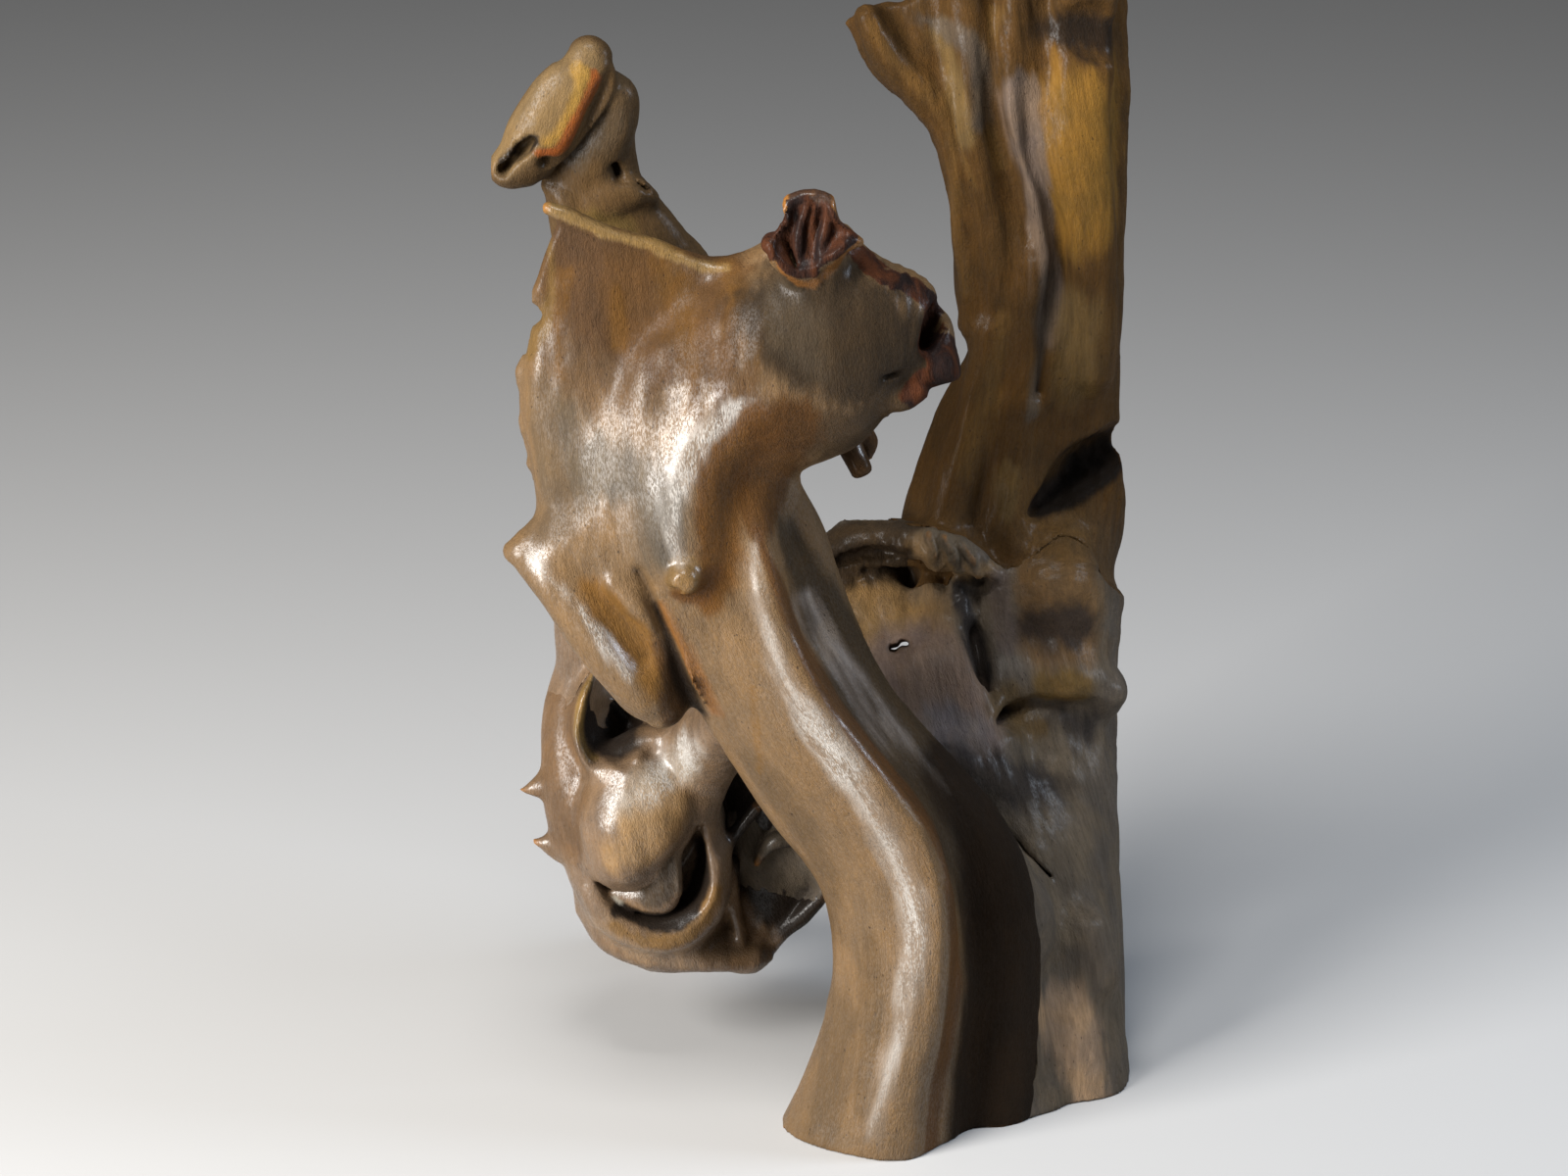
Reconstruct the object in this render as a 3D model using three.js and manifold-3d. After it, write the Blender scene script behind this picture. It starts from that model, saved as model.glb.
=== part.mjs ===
// A polished root sculpture: one root stock that stands on three cut feet, about 0.6 m tall.
// It is parted at its main forks: the front trunk, the hollow burl, the seat stump, the back board,
// the rear finger and the hooked twig.
import * as THREE from 'three';
import { mergeVertices } from 'three/addons/utils/BufferGeometryUtils.js';
import Module from 'manifold-3d';

const wasm = await Module();
wasm.setup();

// Sizes are millimetres. Each limb is a list of stations [right, up, back, half width, half depth].
// Right and up are measured across a sheet that stands in front of the root and is looked at from
// slightly above, and back is the real distance behind the sheet's middle.
const VIEW_TILT = THREE.MathUtils.degToRad(20);
const EYE_DISTANCE = 2400;
const SHEET_MIDDLE_HEIGHT = 320;
const FORK_GAP = 0.3;
const ROW_STEP = 34;
const SMALL_ROW_STEP = 20;
const BIG_SIDES = 10;
const SMALL_SIDES = 6;
const BIG_HALF_SIZE = 13;
const ROUND_TIP = 7;
const THINNEST = 0.5;
const ALONG_BACK = 0.8;
const FLOOR_BLOCK = 900;
const MIDDLE_RIGHT = 24.74;
const MIDDLE_BACK = 138.36;

const frontTrunk = {
  grown: {
    leg: [[40, -308, 36, 58, 46], [50, -260, 32, 45, 35], [56, -225, 30, 38, 31], [59, -200, 30, 36, 30],
      [58, -175, 30, 35, 30], [54, -150, 30, 36, 30], [44, -125, 30, 38, 30], [26, -100, 30, 39, 30],
      [8, -75, 29, 38, 29], [-8, -50, 28, 38, 28], [-22, -25, 27, 38, 27], [-31, -5, 26, 40, 26]],
    legRidge: [[56, -305, 6, 16, 14], [59, -260, 3, 14, 13], [69, -227, 0, 13, 12], [73, -200, -1, 12, 12],
      [74, -175, -1, 12, 12], [72, -150, -1, 12, 12], [65, -125, -1, 12, 12], [51, -104, 0, 12, 12],
      [36, -84, 1, 12, 11], [23, -64, 2, 12, 11], [11, -44, 2, 11, 11], [1, -22, 3, 11, 10],
      [-7, 0, 5, 10, 10], [-12, 20, 9, 8, 8]],
    legFlank: [[100, -308, 62, 36, 36], [102, -250, 60, 32, 32], [104, -200, 58, 28, 30],
      [105, -165, 58, 27, 28], [95, -135, 58, 25, 26], [76, -108, 56, 23, 24], [56, -82, 54, 20, 22],
      [40, -58, 52, 17, 20], [28, -30, 50, 14, 18], [18, 0, 46, 12, 16], [10, 28, 42, 11, 13],
      [0, 52, 36, 8, 10]],
    torso: [[-24, -25, 26, 32, 24], [-36, 0, 26, 44, 24], [-51, 30, 26, 54, 23], [-58, 60, 29, 62, 20],
      [-61, 90, 32, 66, 16], [-63, 120, 35, 60, 12], [-66, 145, 37, 56, 8], [-68, 158, 38, 52, 6]],
    torsoRidge: [[-5, 112, 10, 14, 12], [-22, 100, 8, 17, 14], [-39, 82, 6, 18, 15], [-50, 62, 4, 18, 15],
      [-55, 42, 4, 17, 14], [-54, 22, 6, 13, 12], [-48, 0, 10, 10, 10]],
    web: [[-119, 169, 37, 26, 4], [-100, 162, 36, 24, 5], [-68, 154, 36, 23, 6], [-32, 144, 35, 21, 7],
      [-5, 149, 34, 26, 10], [20, 150, 32, 30, 14]],
    webLow: [[-120, 128, 38, 8, 4], [-124, 110, 36, 8, 5], [-124, 90, 35, 8, 5], [-120, 68, 34, 7, 6],
      [-112, 42, 30, 14, 8]],
    lobe: [[-50, 85, 28, 36, 20], [-24, 98, 26, 48, 26], [5, 115, 26, 54, 32], [31, 125, 26, 50, 34],
      [55, 128, 28, 38, 27], [68, 125, 32, 22, 18]],
    tornRidge: [[29, 180, 28, 6, 8], [40, 169, 28, 5, 8], [52, 160, 29, 4.5, 7], [66, 155, 30, 4.5, 7],
      [74, 148, 31, 4, 7], [75, 139, 31, 3, 6]],
    snag: [[20, 145, 30, 16, 20], [16, 162, 16, 18, 20], [14, 176, 2, 19, 21], [14, 178, -2, 18.5, 21]],
    snagPeak: [[13, 169, 14, 12, 12], [16, 186, 6, 11, 11], [18, 196, 2, 6, 8]],
    rightStub: [[55, 111, 28, 14, 17], [71, 113, 24, 11, 14], [83, 114, 20, 9.5, 11], [87, 115, 19, 8, 9]],
    lowTear: [[48, 100, 18, 10, 12], [60, 98, 14, 8, 9], [71, 102, 13, 5, 6]],
    leftPoint: [[-140, 20, 24, 2, 3], [-130, 22, 24, 9, 8], [-110, 24, 24, 18, 13], [-85, 26, 24, 26, 18]],
    flap: [[-112, 17, 18, 18, 10], [-94, -2, 14, 26, 12], [-78, -25, 12, 27, 13], [-66, -44, 14, 20, 12],
      [-59, -57, 16, 12, 10]],
    flapRoll: [[-135, 17, 20, 5, 5], [-120, 3, 12, 10, 9], [-102, -19, 8, 12, 11], [-84, -40, 7, 13, 12],
      [-71, -55, 9, 12, 11], [-64, -62, 11, 8, 8]],
    bump: [[-49, 10, 2, 8, 8], [-50, 3, -3, 8, 8]],
  },
  carved: {
    crease: [[-66, 0, -2, 2, 4], [-58, -18, -4, 4, 9], [-49, -40, -4, 5, 12], [-42, -61, -2, 5, 13],
      [-38, -72, 2, 3, 8]],
    snagBowl: [[13, 180, -24, 17, 18.5], [14, 177, -4, 15.5, 17], [15, 174, 4, 11, 12]],
    lobeMouth: [[80, 137, 28, 6, 11], [73, 134, 26, 7, 13], [69, 125, 24, 6, 11]],
  },
};

const hollowBurl = {
  grown: {
    body: [[-80, -70, 132, 32, 30], [-78, -95, 126, 44, 42], [-72, -125, 124, 46, 46],
      [-66, -152, 130, 41, 44], [-58, -168, 138, 34, 36]],
    leftSide: [[-106, -58, 127, 16, 18], [-108, -72, 122, 16, 18], [-108, -100, 116, 16, 20],
      [-102, -128, 116, 16, 20]],
    neck: [[-22, -62, 48, 16, 16], [-34, -72, 78, 20, 20], [-44, -88, 100, 22, 22], [-50, -105, 104, 20, 20]],
    nose: [[-72, -100, 92, 26, 20], [-79, -122, 84, 27, 20], [-83, -140, 86, 20, 14]],
    bottom: [[-97, -162, 122, 9, 16], [-88, -176, 118, 9, 18], [-68, -183, 116, 9, 18],
      [-44, -185, 118, 9, 18], [-18, -186, 124, 9, 14]],
    upperSpike: [[-112, -100, 114, 9, 9], [-122, -102, 112, 6, 7], [-132, -104, 110, 1.5, 2]],
    lowerSpike: [[-108, -125, 114, 9, 9], [-118, -131, 112, 6, 7], [-126, -130, 110, 1.5, 2]],
    darkSheet: [[-15, -72, 146, 18, 18], [-8, -100, 148, 26, 20], [-5, -130, 148, 27, 20],
      [-8, -152, 146, 24, 18], [-18, -175, 138, 16, 15]],
    sheetEdge: [[19, -135, 134, 8, 8], [21, -152, 132, 4, 6], [10, -166, 132, 5, 6], [0, -174, 132, 4, 6],
      [-9, -184, 132, 4, 6]],
    rearRoot: [[-55, -125, 176, 24, 26], [-53, -145, 215, 19, 21], [-51, -165, 250, 18, 20],
      [-50, -188, 275, 19, 21], [-50, -205, 282, 20, 22]],
  },
  carved: {
    upperHollow: [[-96, -42, 96, 2, 12], [-91, -58, 94, 9, 24], [-86, -72, 94, 15, 30],
      [-76, -81, 92, 12, 24], [-66, -80, 92, 5, 14]],
    lowerHollow: [[-97, -150, 84, 3, 12], [-89, -160, 84, 7, 20], [-75, -167, 84, 9, 26],
      [-58, -168, 86, 9, 28], [-46, -156, 88, 9, 28], [-41, -140, 90, 7, 26], [-42, -125, 92, 3, 14]],
  },
};

const seatStump = {
  grown: {
    stump: [[118, -308, 132, 66, 66], [119, -230, 130, 60, 60], [122, -170, 132, 55, 54],
      [124, -110, 146, 50, 44], [125, -60, 170, 52, 36], [122, -5, 196, 64, 30]],
    rightRoot: [[161, -308, 92, 28, 34], [155, -255, 92, 24, 28], [147, -205, 96, 20, 24],
      [141, -165, 106, 18, 22], [138, -130, 124, 16, 20]],
    middleFold: [[128, -308, 92, 24, 28], [126, -255, 88, 20, 26], [125, -205, 88, 17, 24],
      [126, -165, 94, 16, 22], [125, -135, 104, 14, 20], [115, -110, 116, 14, 18]],
    link: [[-10, -128, 146, 16, 16], [20, -128, 146, 24, 22], [55, -133, 140, 32, 27],
      [100, -140, 134, 36, 30]],
    seat: [[84, -140, 106, 36, 26], [68, -100, 114, 42, 22], [58, -65, 128, 46, 16], [51, -32, 150, 46, 11],
      [51, -5, 180, 46, 9], [54, 5, 198, 42, 8]],
    seatRidge: [[76, 2, 180, 6, 8], [88, -28, 156, 8, 11], [98, -55, 138, 11, 14], [109, -80, 122, 14, 16]],
    seatFold: [[114, 25, 186, 8, 10], [114, -10, 170, 10, 13], [112, -45, 156, 9, 13]],
    seatLump: [[140, 30, 186, 20, 18], [140, 0, 172, 24, 20], [142, -25, 164, 22, 18]],
    shelfRoll: [[104, -62, 150, 7, 8], [122, -50, 148, 13, 14], [148, -48, 148, 15, 16],
      [164, -53, 150, 12, 13]],
    lip: [[13, 4, 190, 7, 9], [20, 16, 190, 9, 11], [34, 24, 190, 9, 12], [52, 26, 190, 9, 12],
      [72, 24, 188, 10, 13], [90, 20, 184, 11, 13], [104, 13, 180, 8, 9], [109, 6, 178, 4, 5]],
    lipLeaf: [[68, 22, 180, 9, 7], [82, 17, 174, 11, 7], [100, 10, 168, 8, 6]],
  },
  carved: {
    lipHollow: [[21, 8, 172, 3, 8], [34, 13, 170, 6, 14], [50, 14, 170, 8, 18], [65, 11, 170, 6, 14]],
    lipGap: [[75, 4, 158, 3, 8], [88, 2, 156, 6, 16], [102, 0, 158, 6, 16]],
    shelfHollow: [[136, -84, 112, 6, 14], [149, -79, 112, 14, 20], [165, -82, 114, 16, 20]],
    seatHole: [[57, -29, 110, 5, 3.5], [57, -29, 200, 5, 3.5]],
  },
};

const backBoard = {
  grown: {
    board: [[115, 0, 206, 50, 20], [116, 24, 207, 58, 21], [120, 50, 208, 59, 20], [125, 80, 208, 52, 18],
      [132, 115, 208, 43, 18], [134, 165, 208, 41, 17], [133, 195, 208, 43, 17], [131, 225, 208, 47, 17],
      [125, 250, 208, 55, 17], [117, 272, 209, 65, 16], [109, 292, 210, 74, 14], [103, 311, 212, 79, 11]],
    leftEdge: [[42, 291, 198, 6, 7], [54, 271, 198, 8, 9], [71, 252, 198, 8, 9], [83, 234, 198, 7, 9],
      [88, 210, 198, 6, 9], [91, 170, 198, 6, 8], [94, 135, 199, 6, 8]],
    leftRib: [[92, 308, 195, 10, 7], [94, 270, 192, 9, 8], [95, 240, 192, 8, 8], [100, 212, 192, 8, 8],
      [106, 180, 192, 8, 8], [108, 150, 193, 7, 7]],
    middleRib: [[120, 308, 193, 9, 7], [120, 270, 190, 8, 8], [122, 235, 189, 9, 8], [129, 205, 189, 9, 8],
      [130, 175, 189, 8, 8], [124, 140, 190, 9, 8], [123, 100, 190, 10, 8]],
    rightRib: [[155, 306, 190, 16, 8], [154, 270, 188, 15, 8], [152, 225, 187, 15, 9], [155, 185, 188, 13, 9],
      [159, 145, 190, 10, 9], [158, 110, 192, 8, 8]],
    lowRib: [[105, 130, 192, 8, 8], [98, 90, 190, 10, 9], [88, 55, 188, 12, 10], [79, 20, 188, 12, 9]],
  },
  carved: {
    boardHollow: [[129, 40, 186, 6, 14], [140, 48, 184, 12, 22], [153, 59, 184, 17, 26],
      [170, 68, 186, 17, 24]],
  },
};

const rearFinger = {
  grown: {
    stem: [[-102, -80, 130, 8, 8], [-106, -60, 128, 12, 12], [-103, -20, 120, 16, 15],
      [-92, 30, 114, 22, 16], [-84, 85, 110, 30, 17], [-78, 130, 106, 36, 18], [-80, 162, 102, 36, 17],
      [-90, 186, 99, 31, 16], [-97, 204, 96, 26, 15], [-98, 220, 94, 24, 15], [-95, 240, 92, 19, 14]],
    shoulder: [[-60, 178, 108, 8, 10], [-50, 166, 110, 12, 12], [-40, 148, 112, 16, 14],
      [-32, 120, 112, 16, 14]],
    head: [[-140, 214, 78, 9, 11], [-131, 229, 76, 13, 13], [-118, 247, 76, 15, 14], [-106, 263, 77, 14, 13],
      [-98, 272, 79, 10, 11]],
    knob: [[-95, 258, 90, 13, 13], [-86, 250, 92, 13, 12], [-85, 242, 94, 12, 12], [-89, 230, 94, 13, 13]],
    plate: [[-100, 192, 86, 8, 6], [-88, 200, 84, 10, 6], [-76, 202, 86, 8, 6], [-68, 200, 92, 4, 5]],
  },
  carved: {
    headFace: [[-155, 205, 20, 60, 46], [-120, 250, 20, 60, 48], [-95, 280, 22, 60, 46]],
  },
};

const hookedTwig = {
  grown: {
    hook: [[10, 90, 52, 14, 12], [22, 81, 64, 10, 9], [31, 76, 66, 7, 7], [36, 67, 62, 6, 6],
      [40, 59, 58, 5.5, 5.5]],
    stub: [[25, 80, 74, 9, 8], [36, 81, 76, 7, 7], [43, 75, 76, 5, 5], [42, 69, 76, 4, 4]],
  },
  carved: {},
};

// How far the ends of these limbs stand past their last station: the rest end in a round tip.
const bluntTips = {
  web: 3, webLow: 3, snag: 2, snagBowl: 3, rightStub: 1.5, lowTear: 1.5, body: 18, leftSide: 8,
  stump: 12, board: 6, hook: 2,
};

// The real place of a point that is seen at (right, up) on the sheet and lies at the distance back.
function seen(right, up, back) {
  const tiltSine = Math.sin(VIEW_TILT);
  const tiltCosine = Math.cos(VIEW_TILT);
  const eyeFront = EYE_DISTANCE * tiltCosine;
  const eyeHeight = SHEET_MIDDLE_HEIGHT + EYE_DISTANCE * tiltSine;
  const reach = (back + eyeFront) / (eyeFront + up * tiltSine);
  const drop = up * tiltCosine - EYE_DISTANCE * tiltSine;
  return new THREE.Vector3(reach * right, back, eyeHeight + reach * drop);
}

// A smooth curve through points.
function smoothCurve(points) {
  return new THREE.CatmullRomCurve3(points, false, 'catmullrom', 0.5);
}

// The rows of a limb from tip to tip: where along the path, how much of the full oval, how far past it.
function limbRows(length, small, tip) {
  const steps = Math.max(2, Math.round(length / (small ? SMALL_ROW_STEP : ROW_STEP)));
  const cap = tip > ROUND_TIP ? [{ part: 0.75, past: 0.66 * tip }] : [];
  const rows = [{ along: 0, part: 0, past: -tip }];
  cap.forEach(({ part, past }) => rows.push({ along: 0, part, past: -past }));
  for (let step = 0; step <= steps; step += 1) {
    rows.push({ along: step / steps, part: 1, past: 0 });
  }
  cap.forEach(({ part, past }) => rows.push({ along: 1, part, past }));
  rows.push({ along: 1, part: 0, past: tip });
  return rows;
}

// A limb is a ball whose rows are carried along a curve through the stations and stretched to their ovals.
function limbGeometry(name, stations, swell) {
  const path = smoothCurve(stations.map((station) => seen(station[0], station[1], station[2])));
  const ovals = smoothCurve(stations.map((station) => new THREE.Vector3(station[3], station[4], 0)));
  const widest = Math.max(...stations.map((station) => Math.max(station[3], station[4])));
  const small = widest < BIG_HALF_SIZE;
  const sides = small ? SMALL_SIDES : BIG_SIDES;
  const sameArea = Math.sqrt(2 * Math.PI / (sides * Math.sin(2 * Math.PI / sides)));
  const first = stations[0];
  const last = stations[stations.length - 1];
  const tip = bluntTips[name] ?? Math.min(first[3], first[4], last[3], last[4]);
  const rows = limbRows(path.getLength(), small, tip + swell);
  const whole = path.getPoint(1).sub(path.getPoint(0)).normalize();
  const depthAxis = Math.abs(whole.y) > ALONG_BACK ? new THREE.Vector3(0, 0, 1) : new THREE.Vector3(0, 1, 0);
  const geometry = new THREE.SphereGeometry(1, sides, rows.length - 1);
  const position = geometry.getAttribute('position');
  for (let index = 0; index < position.count; index += 1) {
    const row = rows[Math.floor(index / (sides + 1))];
    const turn = ((index % (sides + 1)) % sides) * (2 * Math.PI / sides);
    const heading = path.getTangent(row.along);
    const deepWay = depthAxis.clone().addScaledVector(heading, -depthAxis.dot(heading)).normalize();
    const wideWay = deepWay.clone().cross(heading);
    const oval = ovals.getPoint(row.along);
    const wide = (Math.max(oval.x, THINNEST) * sameArea + swell) * row.part;
    const deep = (Math.max(oval.y, THINNEST) * sameArea + swell) * row.part;
    const place = path.getPoint(row.along).addScaledVector(heading, row.past);
    place.addScaledVector(wideWay, wide * Math.cos(turn));
    place.addScaledVector(deepWay, -deep * Math.sin(turn));
    position.setXYZ(index, place.x, place.y, place.z);
  }
  return geometry;
}

// A closed geometry made a solid that can be joined and cut.
function solidOf(geometry) {
  geometry.deleteAttribute('normal');
  geometry.deleteAttribute('uv');
  const merged = mergeVertices(geometry);
  const vertProperties = new Float32Array(merged.getAttribute('position').array);
  const triVerts = new Uint32Array(merged.getIndex().array);
  return new wasm.Manifold(new wasm.Mesh({ numProp: 3, vertProperties, triVerts }));
}

// All the limbs of a piece joined, less what is hollowed out of it. A swell makes it that much fatter.
function pieceSolid(piece, swell) {
  let solid = null;
  for (const [name, stations] of Object.entries(piece.grown)) {
    const limb = solidOf(limbGeometry(name, stations, swell));
    solid = solid ? solid.add(limb) : limb;
  }
  for (const [name, stations] of Object.entries(piece.carved)) {
    solid = solid.subtract(solidOf(limbGeometry(name, stations, -swell)));
  }
  return solid;
}

// The block below the floor, which cuts the feet flat.
const belowFloor = new THREE.BoxGeometry(FLOOR_BLOCK, FLOOR_BLOCK, FLOOR_BLOCK);
belowFloor.translate(0, 0, -FLOOR_BLOCK / 2);
const floorBlock = solidOf(belowFloor);

// A solid as a mesh with its own material.
function meshOf(name, solid, color, roughness) {
  const { vertProperties, triVerts } = solid.getMesh();
  const geometry = new THREE.BufferGeometry();
  geometry.setAttribute('position', new THREE.BufferAttribute(new Float32Array(vertProperties), 3));
  geometry.setIndex(new THREE.BufferAttribute(new Uint32Array(triVerts), 1));
  geometry.computeVertexNormals();
  const mesh = new THREE.Mesh(geometry, new THREE.MeshStandardMaterial({ color, roughness, metalness: 0 }));
  mesh.name = name;
  return mesh;
}

// Each piece keeps the fork gap to the pieces before it, which it grows out of.
const pieces = [
  { name: 'front_trunk', limbs: frontTrunk, color: 0x8a6238, roughness: 0.32 },
  { name: 'hollow_burl', limbs: hollowBurl, color: 0x846043, roughness: 0.34 },
  { name: 'seat_stump', limbs: seatStump, color: 0x4a3526, roughness: 0.4 },
  { name: 'back_board', limbs: backBoard, color: 0x5e4423, roughness: 0.45 },
  { name: 'rear_finger', limbs: rearFinger, color: 0x8b7044, roughness: 0.42 },
  { name: 'hooked_twig', limbs: hookedTwig, color: 0x5b4225, roughness: 0.45 },
];

const root = new THREE.Group();
root.name = 'root_sculpture';
root.position.set(-MIDDLE_RIGHT, -MIDDLE_BACK, 0);
let fork = null;
for (const { name, limbs, color, roughness } of pieces) {
  let solid = pieceSolid(limbs, 0).subtract(floorBlock);
  if (fork) {
    solid = solid.subtract(fork);
  }
  root.add(meshOf(name, solid, color, roughness));
  const swollen = pieceSolid(limbs, FORK_GAP);
  fork = fork ? fork.add(swollen) : swollen;
}

export default root;
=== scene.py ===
import bpy
import numpy as np
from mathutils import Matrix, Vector


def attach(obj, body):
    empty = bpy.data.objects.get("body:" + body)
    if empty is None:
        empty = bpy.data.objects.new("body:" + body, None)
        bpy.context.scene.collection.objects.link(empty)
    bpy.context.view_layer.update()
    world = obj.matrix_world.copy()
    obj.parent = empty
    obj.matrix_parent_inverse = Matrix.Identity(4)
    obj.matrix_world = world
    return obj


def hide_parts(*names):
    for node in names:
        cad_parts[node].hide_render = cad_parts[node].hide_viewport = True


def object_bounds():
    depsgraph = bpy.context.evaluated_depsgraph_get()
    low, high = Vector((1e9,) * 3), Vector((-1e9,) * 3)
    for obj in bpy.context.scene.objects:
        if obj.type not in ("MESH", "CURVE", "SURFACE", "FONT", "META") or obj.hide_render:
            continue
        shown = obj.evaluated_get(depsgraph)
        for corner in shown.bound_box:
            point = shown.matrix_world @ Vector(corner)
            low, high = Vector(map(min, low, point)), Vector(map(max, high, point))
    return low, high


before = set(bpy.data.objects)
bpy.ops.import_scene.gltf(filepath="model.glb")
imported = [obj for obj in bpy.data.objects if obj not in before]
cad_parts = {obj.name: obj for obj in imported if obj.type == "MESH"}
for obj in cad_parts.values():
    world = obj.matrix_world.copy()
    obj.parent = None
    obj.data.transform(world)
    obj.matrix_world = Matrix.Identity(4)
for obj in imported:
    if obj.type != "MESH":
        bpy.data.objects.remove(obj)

cad_low, cad_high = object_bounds()

# Front trunk: the curved leg on its sawn foot, the body above it, the thin-rimmed crown with its
# broken snag, the round lobe with torn edges, and the pointed flap. Natural root wood, rubbed
# smooth and varnished. The other branches fork from it.

# Millimetres. A limb is a list of stations [right, up, back, half width, half depth]. Right and up
# are where the eye sees it on a flat sheet that faces the eye and so leans back by the view's tilt,
# and back is the real distance behind the sheet's middle.
VIEW_TILT = np.radians(20)
EYE_DISTANCE = 2400.0
SHEET_MIDDLE_HEIGHT = 320.0
SHEET_TO_FRAME = np.array([-24.74, -138.36, 0.0])
MILLIMETRE = 0.001
THINNEST = 0.4
ALONG_BACK = 0.8
PATH_STEPS = 6
NEAR_ZERO = 1e-9
TINY = 1e-6

# The root is grown on one grid of cells, as the distance from each cell corner to its surface.
CELL = 1.75
AIR = 60.0
GRID_MARGIN = 8.0
SLOPE_REACH = 0.6
GRID_LOW = np.array(cad_low) / MILLIMETRE - SHEET_TO_FRAME - GRID_MARGIN
GRID_HIGH = np.array(cad_high) / MILLIMETRE - SHEET_TO_FRAME + GRID_MARGIN
GRID_COUNT = np.ceil((GRID_HIGH - GRID_LOW) / CELL).astype(int) + 1
grid_axes = [(GRID_LOW[axis] + CELL * np.arange(GRID_COUNT[axis])).astype(np.float32) for axis in range(3)]
wood = np.full(GRID_COUNT, AIR, np.float32)


def seen(right, up, back):
    """The place at the distance back on the sight line that crosses the sheet at (right, up): with
    k = (back + eye * cos tilt) / (eye * cos tilt + up * sin tilt), it is at (k * right, back, middle
    height + eye * sin tilt + k * (up * cos tilt - eye * sin tilt))."""
    sine, cosine = np.sin(VIEW_TILT), np.cos(VIEW_TILT)
    reach = (back + EYE_DISTANCE * cosine) / (EYE_DISTANCE * cosine + up * sine)
    eye_height = SHEET_MIDDLE_HEIGHT + EYE_DISTANCE * sine
    return np.column_stack([reach * right, back, eye_height + reach * (up * cosine - EYE_DISTANCE * sine)])


def smooth_rows(rows, steps):
    """Catmull-Rom rows. Between rows b and c, with a before and d after, at t from 0 to 1: half of
    2b + (c - a) t + (2a - 5b + 4c - d) t^2 + (3b - a - 3c + d) t^3."""
    rows = np.asarray(rows, float)
    ends = np.vstack([2 * rows[0] - rows[1], rows, 2 * rows[-1] - rows[-2]])
    along = np.linspace(0, len(rows) - 1, (len(rows) - 1) * steps + 1)
    index = np.minimum(along.astype(int), len(rows) - 2)
    t = (along - index)[:, None]
    a, b, c, d = (ends[index + offset] for offset in range(4))
    return 0.5 * (2 * b + (c - a) * t + (2 * a - 5 * b + 4 * c - d) * t**2 + (3 * b - a - 3 * c + d) * t**3)


def unit(vectors):
    """Each vector divided by its own length."""
    return vectors / (np.linalg.norm(vectors, axis=-1, keepdims=True) + NEAR_ZERO)


class Limb:
    """An oval carried along a smooth path through stations. Its depth direction is the +Y axis less
    its part along the path, or the +Z axis where the whole limb runs backwards."""

    def __init__(self, stations, tip=None):
        stations = np.asarray(stations, float)
        rows = smooth_rows(np.column_stack([seen(*stations[:, :3].T), stations[:, 3:5]]), PATH_STEPS)
        self.places = rows[:, :3]
        self.halves = np.maximum(rows[:, 3:5], THINNEST)
        self.heading = unit(np.gradient(self.places, axis=0))
        runs_back = abs(unit(self.places[-1] - self.places[0])[1]) > ALONG_BACK
        depth = np.array([0.0, 0.0, 1.0] if runs_back else [0.0, 1.0, 0.0])
        self.deep_way = unit(depth - (self.heading @ depth)[:, None] * self.heading)
        self.wide_way = np.cross(self.deep_way, self.heading)
        self.tip = tip

    def distance(self, points, station):
        """The distance to the limb's surface from points whose nearest path place is station, a step
        number with a fraction. With a, b and c the offsets across, in depth and past the end, each over
        its own half size, and k their length, it is k (k - 1) over the length of the same offsets each
        over its half size once more."""
        last = len(self.places) - 1
        index = np.minimum(station.astype(int), last - 1)
        share = (station - index)[:, None]

        def between(rows):
            return rows[index] * (1 - share) + rows[index + 1] * share

        offset = points - between(self.places)
        halves = between(self.halves)
        past_end = (station <= TINY) | (station >= last - TINY)
        cap = halves.min(1) if self.tip is None else np.full(len(points), float(self.tip))
        sizes = np.column_stack([halves, cap])
        parts = np.column_stack([
            (offset * between(self.wide_way)).sum(1),
            (offset * between(self.deep_way)).sum(1),
            np.where(past_end, (offset * between(self.heading)).sum(1), 0.0),
        ])
        ratio = np.linalg.norm(parts / sizes, axis=1) + TINY
        slope = np.linalg.norm(parts / sizes**2, axis=1) + TINY
        return np.clip(np.maximum(ratio * (ratio - 1) / slope, -halves.min(1)), -AIR, AIR)


def cells_near(places, reach):
    """The window of the grid within reach of the places, as three slices."""
    first = np.floor((places.min(0) - reach - GRID_LOW) / CELL).astype(int)
    last = np.ceil((places.max(0) + reach - GRID_LOW) / CELL).astype(int) + 1
    first = np.clip(first, 0, GRID_COUNT - 1)
    last = np.clip(last, first + 1, GRID_COUNT)
    return tuple(slice(int(low), int(high)) for low, high in zip(first, last))


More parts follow.
